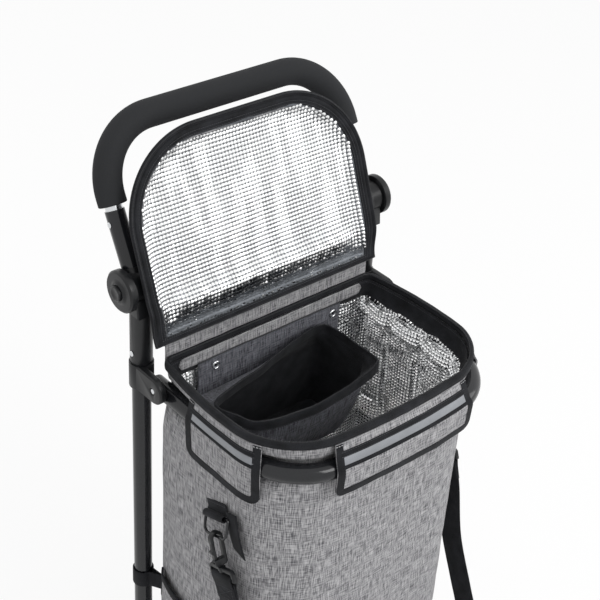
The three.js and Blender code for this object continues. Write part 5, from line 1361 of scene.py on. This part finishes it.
def make_lid_foil(sizes):
    """The lid's inner sheet: foil that is dished, rippled and rolled over at its foot, and its bubbles."""
    def wave(x, z):
        quilt = 1.3 * rough((x, z * 0.3, 0), 34, 3.0) + 0.5 * rough((x, z, 0), 20, 7.0)
        roll = 7 * math.exp(-((z - 42) / 15) ** 2) * soft(LID_BASE_HALF - abs(x), 22, 60)
        return quilt * soft(LID_HALF - abs(x), 10, 40) + roll

    steps = [(16.5, 15.6, 8.0), (18.5, 15.2, 8.8), (21, 13.6, 9.6), (24, 11.2, 10.6), (28, 8.9, 12),
             (33, 7.4, 14), (40, 6.5, 18), (50, 6.0, 25)]
    foil = lid_sheet("lid_foil", steps, wave, 1)
    surface = surface_of(foil)
    pitch = sizes.bubble / MM
    back = Vector((0, math.cos(LID_TILT), -math.sin(LID_TILT)))
    border = [tuple(p) for p in lid_outline(18.6, 8.2)]
    before_lid = 0.06
    places, facings, rises = [], [], []
    for z in np.arange(10, LID_LENGTH - 14, pitch):
        # At its foot the foil rolls down under the border, and above that it is crumpled
        rolled = 1 - soft(z, 14, 26)
        for x in np.arange(-LID_HALF + 14, LID_HALF - 14, pitch):
            if not inside(border, x, z):
                continue
            crumpled = 1 - soft(z + 10 * rough((x, z, 0), 14, 1.0), 18, 46)
            shift = noise.noise_vector(Vector((x, z, 0)) / 6) * 1.6 * crumpled
            start = at(*on_lid((x + shift.x, 0, z + shift.y))) - back * before_lid
            spot, normal, _, _ = surface.ray_cast(start, back)
            if spot is None:
                continue
            pressed = soft(rough((x, z * 0.2, 0), 17, 4.0), -0.28, 0.1)
            bent = noise.noise_vector(Vector((x, z, 3)) / 5) * (0.08 + 0.35 * crumpled)
            down = Vector((0, 0, 0.36 * crumpled + 0.8 * rolled))
            places.append(spot + normal * 0.35 * MM)
            facings.append((normal + bent - down).normalized())
            rises.append((0.55 + 0.45 * pressed) * (1 - 0.3 * crumpled))
    foil_bubbles("lid_foil_bubbles", places, facings, rises, (1.5, 6, 0.545, 0.17), "lid")
    set_down(thicken(foil, 0.8), "lid_foil", body="lid")


def make_lid(sizes):
    """The insulated lid: cloth outside, foil inside, and a black border with piping and a zip's coil."""
    make_lid_foil(sizes)
    steps = [(19.5, 14.2, 1.0), (19.4, 9, 1.0), (19.6, 4, 1.0), (20.6, 1.6, 1.6), (23, 0.3, 3),
             (30, -0.4, 6), (45, -1.2, 14)]
    cover = lid_sheet("lid_cover", steps, lambda x, z: 0.6 * rough((x, z, 4), 60, 2.0), -1)
    set_down(thicken(cover, 1.4), "melange", "lid_panel", body="lid", slot="lid_fabric")

    def border_line(inset, depth):
        return on_lid(lid_ring(inset, depth, max(0.0, inset) * 0.45))

    section = [(0.2, 15.4), (-0.1, 17.2), (0.3, 18.4), (1.4, 19.0), (3.4, 19.0), (5.0, 18.5), (6.2, 17.2),
               (7.4, 18.2), (9.0, 18.6), (10.4, 18.2), (11.4, 17.5), (14, 17.0), (17.2, 16.2),
               (18.3, 15.4), (18.6, 14.4), (17.6, 13.7), (12, 14.1), (4, 14.6)]
    rings = np.array([border_line(*place) for place in section]).transpose(1, 0, 2)
    set_down(swept("lid_border", rings, closed=True), "tape", "lid_band", body="lid")
    piping = tube("lid_piping", on_lid(lid_ring(20.3, 1.6, 1.4)), 1.5, closed=True)
    set_down(piping, "coil", body="lid")
    zip_coil("lid_zip_coil", on_lid(lid_ring(2.4, 19.1, 0.9)), sizes, body="lid")
    seams = [looped(border_line(inset, depth)) for inset, depth in ((12.6, 17.6), (16.6, 16.8))]
    stitches("lid_stitches", seams, sizes, body="lid")


def make_lid_strip():
    """The cloth strip that the lid hinges on, and the rolled seam between the two."""
    rows = [[(x, -29.9 - 0.6 * rough((x, 0, z), 26, 4.0), z) for x in np.linspace(-172, 164, 70)]
            for z in np.linspace(RIM - 1.5, RIM + 20.6, 12)]
    set_down(cloth_sheet("lid_strip", rows, 1.4), "melange", "lid_gusset")
    # The seam lies in the hinge's own line, so it closes the gap at every angle of the lid
    seam = [(x, LID_ORIGIN[1] + 0.4, LID_ORIGIN[2] - 0.1) for x in np.linspace(-171.5, 163.5, 24)]
    set_down(tube("lid_hinge_seam", seam, 1.2, 8), "coil")


def make_shoulder_strap(sizes):
    """The webbing of the shoulder strap, its sewn ends and the box stitches on them."""
    width = sizes.webbing / MM
    middle, front, foot = BAG["shift"], -316, 168
    low = SWIVEL_BOTTOM - 6
    top, lead = (on_chain((CHAIN_X, 0, low + down)) for down in (1, -30))
    # The strap's way as shares from the bag's middle out, from its end to the front, and from its foot up
    shares = [(1.003, 0.24, 0.6), (1, 0.5, 0.35), (0.985, 0.74, 0.155), (0.93, 0.9, 0.05),
              (0.8, 0.975, 0.012), (0.5, 1, 0), (0.2, 1, 0)]
    route = [top, lead] + [np.array((middle + (top[0] - middle) * a, top[1] + (front - top[1]) * f,
                                     foot + (top[2] - foot) * u)) for a, f, u in shares]
    route += [on_side(p, -1) for p in route[::-1]]
    pieces = [swept("strap_run", ribbon_rings(catmull_rom(route, 180), (0, 1, 0), width, 1.9))]
    # The end is folded round the swivel's bar
    bar, bar_radius = SWIVEL_BOTTOM + 2.3, 3.0
    round_bar = bar_radius + 0.3 + 0.9
    fold = [(-1.2, low - 26), (-2.2, low - 6), (-round_bar, bar - 3)]
    fold += [(round_bar * math.cos(t), bar + round_bar * math.sin(t)) for t in np.linspace(math.pi, 0, 13)]
    fold += [(round_bar, bar - 3), (2.2, low - 6), (1.4, low - 26)]
    path = on_chain([(CHAIN_X + out, 0, z) for out, z in fold])
    pieces += [swept(f"strap_end_{side}", ribbon_rings(on_side(path, side), CHAIN_WIDE, width, 1.7))
               for side in (1, -1)]
    strap = tidy_mesh(joined("strap_webbing", pieces), 50)
    set_down(strap, "webbing", "shoulder_strap")
    half = width / 2 - 4
    a, b, c, d = (-half, low - 6), (half, low - 6), (half, low - 22), (-half, low - 22)
    runs = [on_side(on_chain([(CHAIN_X - 3.2, *place) for place in np.linspace(start, end, 8)]), side)
            for side in (1, -1) for start, end in ((a, b), (b, c), (c, d), (d, a), (a, c), (b, d))]
    stitches("strap_box_stitches", runs, sizes)


def make_strap_tabs(sizes):
    """The webbing tabs that hold the strap's rings, and the tail that hangs from the left one."""
    wall_x = section_of(wall_side(TAB[2] + 8, -1.0, -40, -240), 1, TAB[1], TAB[1], 1)[0][0] - 0.5
    radius = 4.15
    turn = math.radians(150)
    path = on_chain([(wall_x, 0, h) for h in (17, 13, 9, 6)]
                    + [(TAB[0] - radius * math.cos(t), 0, radius * math.sin(t))
                       for t in np.linspace(turn, -turn, 22)])
    rings = ribbon_rings(path, CHAIN_WIDE, sizes.webbing / MM, 1.7)
    for side, name in ((1, "left"), (-1, "right")):
        tab = swept(f"strap_tab_webbing_{name}", on_side(rings, side))
        set_down(tab, "webbing", f"strap_tab_{name}")
    rows = [on_chain([(wall_x - 0.8 - 1.5 * math.sin(math.pi * down), -19 - 20 * across,
                       8 - (50 + 12 * across) * down) for across in np.linspace(0, 1, 7)])
            for down in np.linspace(0, 1, 14)]
    set_down(cloth_sheet("strap_tail", rows, 1.4), "webbing")
    seam = on_chain([(wall_x - 1.1, across, 14) for across in np.linspace(-17, 17, 12)])
    stitches("tab_stitches", [on_side(seam, side) for side in (1, -1)], sizes)


def make_leg_strap():
    """The webbing that ties the bag's back to the legs."""
    height, thick, leg_radius = 26.0, 1.6, 12.5
    middle = RIM - 385
    rows = []
    for z in np.linspace(middle + height / 2, middle - height / 2, 5):
        ring = wall_ring(z, -1.2)
        back = ring[ring[:, 1] > -46]
        rows.append(smooth_line(back[np.argsort(back[:, 0])], 70))
    pieces = [cloth_sheet("leg_strap", rows, thick)]
    for side in (-1, 1):
        centre = np.array([side * LEG_X, 0.0])
        ring = wall_ring(middle, -1.2)[:, :2]
        corner = ring[np.argmin(np.linalg.norm(ring - centre, axis=1))]
        away = corner - centre
        sewn = corner + away / np.linalg.norm(away) * 2.0
        turn = math.atan2(away[1], away[0])
        radius = leg_radius + 0.5 + thick / 2
        path = [centre + radius * np.array([math.cos(turn + a), math.sin(turn + a)])
                for a in np.linspace(0.35, 2 * math.pi - 0.35, 40)]
        loop = level(np.array([sewn, *path, sewn]), middle)
        pieces.append(swept(f"leg_loop_{side}", ribbon_rings(loop, (0, 0, 1), height, thick)))
    set_down(joined("leg_strap_webbing", pieces), "webbing", "leg_band")


def bow_line(start):
    """The handle's bow above its arms, in the part's layout."""
    corners = [(-LEG_X, 0, start), (-LEG_X, 0, 194), (LEG_X, 0, 194), (LEG_X, 0, start)]
    return on_handle(bent_path(corners, 82, 28))


def make_grip():
    """The foam grip, swept along the bow, and the bare tube inside it."""
    foam = soften(tube("grip_foam", bow_line(102), 18, 48), 1.6, 3, 60)
    set_down(foam, "foam", "foam_grip", body="handle")
    set_down(tube("grip_core", bow_line(44), 10.7, 32), "steel", "grip_tube", body="handle")


def make_tubes():
    """The bent tubes of the frame: the ring that carries the bag and the foot frame."""
    half, front, back = RING["half"], RING["front"], -17.5
    corners = [(-half, back, RING_HEIGHT), (-half, front, RING_HEIGHT), (half, front, RING_HEIGHT),
               (half, back, RING_HEIGHT)]
    bend_steps = 24
    line = bent_path(corners, RING["front_radius"], bend_steps)
    # More points along the front's straight run, which bows forwards
    end, start = line[bend_steps + 1], line[bend_steps + 2]
    run = [end + (start - end) * t for t in np.linspace(0, 1, 24)[1:-1]]
    line = np.vstack([line[:bend_steps + 2], run, line[bend_steps + 2:]])
    line[:, 1] -= RING["bow"] * np.maximum(0, 1 - (line[:, 0] / half) ** 2)
    set_down(tube("ring_tube", line, RING_RADIUS, 40), "paint", "support_ring")

    radius, gap = 9.5, 0.3
    half = LEG_X + 2.8 - gap - radius
    rail, pad, front = BAG_BOTTOM - gap - radius, 12.2, -252
    right = [(half, front, pad), (half, front, rail), (half, back, rail)]
    corners = [(-x, y, z) for x, y, z in right[::-1]] + right
    set_down(tube("foot_tube", bent_path(corners, 34, 14), radius, 32), "paint", "foot_frame")


def dress_node(node, finish, edge):
    """A merged, smoothly shaded copy of a rigid node, with its sharp edges softened."""
    source = frame["nodes"][node].data
    raw = np.zeros(len(source.vertices) * 3)
    source.vertices.foreach_get("co", raw)
    places, back = np.unique(np.round(raw.reshape(-1, 3), 6), axis=0, return_inverse=True)
    back = back.ravel()
    faces = [tuple(back[v] for v in face.vertices) for face in source.polygons]
    faces = [face for face in faces if len(set(face)) == 3]
    mesh = bpy.data.meshes.new(f"{node}_finished")
    mesh.from_pydata([tuple(p) for p in places], [], faces)
    obj = new_object(f"{node}_finished", mesh)
    work = bmesh.new()
    work.from_mesh(mesh)
    bmesh.ops.dissolve_limit(work, angle_limit=math.radians(0.6), verts=work.verts, edges=work.edges)
    bmesh.ops.recalc_face_normals(work, faces=work.faces)
    work.to_mesh(mesh)
    work.free()
    if edge:
        soften(obj, edge, 2, 38)
    set_down(smoothed(obj, 34), finish, node, body=BODY_OF[node], slot=SLOT_OF[node])


def dress_rigid_nodes():
    for names, finish, edge in RIGID:
        for name in names.split():
            for node in (f"{name}left", f"{name}right") if name.endswith("_") else (name,):
                dress_node(node, finish, edge)


# Stage


def make_camera():
    data = bpy.data.cameras.new("Photo view")
    data.sensor_width = SENSOR
    data.lens = FOCAL_PIXELS / PHOTO_PIXELS * SENSOR
    data.clip_end = 20
    camera = new_object("photo_camera", data)
    ahead = Vector((math.sin(CAMERA_YAW) * math.cos(CAMERA_PITCH),
                    math.cos(CAMERA_YAW) * math.cos(CAMERA_PITCH), -math.sin(CAMERA_PITCH)))
    right = Vector((math.cos(CAMERA_YAW), -math.sin(CAMERA_YAW), 0))
    up = right.cross(ahead)
    c, s = math.cos(CAMERA_ROLL), math.sin(CAMERA_ROLL)
    right, up = right * c + up * s, up * c - right * s
    turn = Matrix((right, up, -ahead)).transposed()
    camera.matrix_world = Matrix.Translation(at(*CAMERA_PLACE)) @ turn.to_4x4()
    bpy.context.scene.camera = camera


def add_lamp(name, place, aim, size, power):
    data = bpy.data.lights.new(name, "AREA")
    data.shape = "RECTANGLE"
    data.size, data.size_y = size
    data.energy = power
    lamp = new_object(name, data)
    way = Vector(aim) - Vector(place)
    lamp.location = place
    lamp.rotation_euler = way.to_track_quat("-Z", "Y").to_euler()


def seen_straight(tree, *more):
    """1 for rays from the camera, for reflections and for the kinds of ray in more, and 0 for the rest."""
    rays = add(tree, "ShaderNodeLightPath").outputs
    share = rays["Is Camera Ray"]
    for kind in ("Is Glossy Ray", *more):
        share = maths(tree, "MAXIMUM", share, rays[kind])
    return share


def blend(tree, share, first, second, output):
    """Sets the output of a tree to a mix of two shaders."""
    both = add(tree, "ShaderNodeMixShader", {0: share, 1: first.outputs[0], 2: second.outputs[0]})
    add(tree, output, {"Surface": both.outputs[0]})


def make_world(stage):
    """An even sky that lights the object softly and shows as white to the camera and in reflections."""
    world = bpy.data.worlds.new("Pale studio")
    bpy.context.scene.world = world
    world.use_nodes = True
    tree = world.node_tree
    tree.nodes.clear()
    soft_sky, white_sky = (
        add(tree, "ShaderNodeBackground", {"Color": (1, 1, 1, 1), "Strength": strength})
        for strength in (stage.sky, 1.0))
    blend(tree, seen_straight(tree, "Is Transmission Ray"), soft_sky, white_sky, "ShaderNodeOutputWorld")


def make_floor():
    """A pale floor that stays nearly white to the camera and keeps the trolley's shadow."""
    mesh = bpy.data.meshes.new("floor")
    reach = 6.0
    mesh.from_pydata([(-reach, -reach, 0), (reach, -reach, 0), (reach, reach, 0), (-reach, reach, 0)], [],
                     [(0, 1, 2, 3)])
    floor = new_object("studio_floor", mesh)
    material = bpy.data.materials.new("Pale studio paper")
    material.use_nodes = True
    tree = material.node_tree
    tree.nodes.clear()
    paper = add(tree, "ShaderNodeBsdfDiffuse", {"Color": (0.88, 0.88, 0.88, 1)})
    glow = add(tree, "ShaderNodeEmission", {"Color": (1, 1, 1, 1), "Strength": 1.05})
    blend(tree, maths(tree, "MULTIPLY", seen_straight(tree), 0.8), paper, glow, "ShaderNodeOutputMaterial")
    floor.data.materials.append(material)


# Operators


class TROLLEY_OT_stage(bpy.types.Operator):
    """Sets up the camera, the lamps, the sky and the floor"""

    bl_idname = "trolley.stage"
    bl_label = "Stage"

    def execute(self, context):
        stage = context.scene.trolley_stage
        make_camera()
        make_world(stage)
        make_floor()
        add_lamp("key_lamp", (0.5, -2.7, 2.7), (0, 0, 0.7), (1.4, 1.4), stage.key)
        add_lamp("fill_lamp", (2.6, -1.4, 1.8), (0, 0, 0.7), (1.4, 2.0), stage.fill)
        add_lamp("back_lamp", (-0.4, 2.6, 2.4), (0, 0, 0.8), (2.0, 1.0), stage.back)
        context.scene.view_settings.view_transform = "Standard"
        return {"FINISHED"}


class TROLLEY_OT_frame(bpy.types.Operator):
    """Finishes the tubes, brackets, hinges, wheels, hooks and fasteners"""

    bl_idname = "trolley.frame"
    bl_label = "Frame and fittings"

    def execute(self, context):
        make_tubes()
        dress_rigid_nodes()
        return {"FINISHED"}


class TROLLEY_OT_grip(bpy.types.Operator):
    """Makes the foam grip and the bare tube inside it"""

    bl_idname = "trolley.grip"
    bl_label = "Foam grip"

    def execute(self, context):
        make_grip()
        return {"FINISHED"}


class TROLLEY_OT_bag(bpy.types.Operator):
    """Makes the bag's outer cloth and its piping"""

    bl_idname = "trolley.bag"
    bl_label = "Bag shell"

    def execute(self, context):
        make_bag_shell()
        make_base_seam()
        return {"FINISHED"}


class TROLLEY_OT_lining(bpy.types.Operator):
    """Makes the insulated foil lining"""

    bl_idname = "trolley.lining"
    bl_label = "Foil lining"

    def execute(self, context):
        make_foil_lining(context.scene.trolley_sizes)
        return {"FINISHED"}


class TROLLEY_OT_rim(bpy.types.Operator):
    """Makes the rim's binding, facing and zip coil"""

    bl_idname = "trolley.rim"
    bl_label = "Rim"

    def execute(self, context):
        make_rim(context.scene.trolley_sizes)
        return {"FINISHED"}


class TROLLEY_OT_flaps(bpy.types.Operator):
    """Makes the three flaps that hang over the ring"""

    bl_idname = "trolley.flaps"
    bl_label = "Flaps"

    def execute(self, context):
        sizes = context.scene.trolley_sizes
        make_flap("flap_left_cloth", flap_drape(1, -105, -226, 97, True), sizes)
        make_flap("flap_right_cloth", flap_drape(1, -226, -105, 97, False), sizes)
        make_flap("flap_front_cloth", flap_drape(0, -108, 108, 78, False), sizes, 11.0)
        return {"FINISHED"}


class TROLLEY_OT_pockets(bpy.types.Operator):
    """Makes the side pocket, the stud panel and the inner pouch"""

    bl_idname = "trolley.pockets"
    bl_label = "Pockets"

    def execute(self, context):
        sizes = context.scene.trolley_sizes
        make_side_pocket(sizes)
        make_back_panel()
        make_press_studs()
        make_pouch(sizes)
        return {"FINISHED"}


class TROLLEY_OT_lid(bpy.types.Operator):
    """Makes the lid's foil, cover, border and the strip that it hinges on"""

    bl_idname = "trolley.lid"
    bl_label = "Lid"

    def execute(self, context):
        make_lid(context.scene.trolley_sizes)
        make_lid_strip()
        return {"FINISHED"}


class TROLLEY_OT_straps(bpy.types.Operator):
    """Makes the shoulder strap, its tabs and the strap round the legs"""

    bl_idname = "trolley.straps"
    bl_label = "Straps"

    def execute(self, context):
        sizes = context.scene.trolley_sizes
        make_shoulder_strap(sizes)
        make_strap_tabs(sizes)
        make_leg_strap()
        return {"FINISHED"}


STEPS = (TROLLEY_OT_stage, TROLLEY_OT_frame, TROLLEY_OT_grip, TROLLEY_OT_bag, TROLLEY_OT_lining,
         TROLLEY_OT_rim, TROLLEY_OT_flaps, TROLLEY_OT_pockets, TROLLEY_OT_lid, TROLLEY_OT_straps)


class TROLLEY_PT_panel(bpy.types.Panel):
    """Lists the steps that dress the trolley"""

    bl_idname = "TROLLEY_PT_panel"
    bl_label = "Shopping trolley"
    bl_space_type = "VIEW_3D"
    bl_region_type = "UI"
    bl_category = "Trolley"

    def draw(self, context):
        for step in STEPS:
            self.layout.operator(step.bl_idname)
        for group in (context.scene.trolley_colours, context.scene.trolley_sizes,
                      context.scene.trolley_stage):
            box = self.layout.box()
            for name in group.__annotations__:
                box.prop(group, name)


GROUPS = {"trolley_colours": TrolleyColours, "trolley_sizes": TrolleySizes,
          "trolley_stage": TrolleyStage}
CLASSES = (*GROUPS.values(), *STEPS, TROLLEY_PT_panel)


def register():
    for each in CLASSES:
        bpy.utils.register_class(each)
    for name, group in GROUPS.items():
        setattr(bpy.types.Scene, name, PointerProperty(type=group))


def unregister():
    for name in GROUPS:
        delattr(bpy.types.Scene, name)
    for each in reversed(CLASSES):
        bpy.utils.unregister_class(each)


def main():
    register()
    for step in (bpy.ops.trolley.stage, bpy.ops.trolley.frame, bpy.ops.trolley.grip,
                 bpy.ops.trolley.bag, bpy.ops.trolley.lining, bpy.ops.trolley.rim,
                 bpy.ops.trolley.flaps, bpy.ops.trolley.pockets, bpy.ops.trolley.lid,
                 bpy.ops.trolley.straps):
        step()


if __name__ == "__main__":
    main()
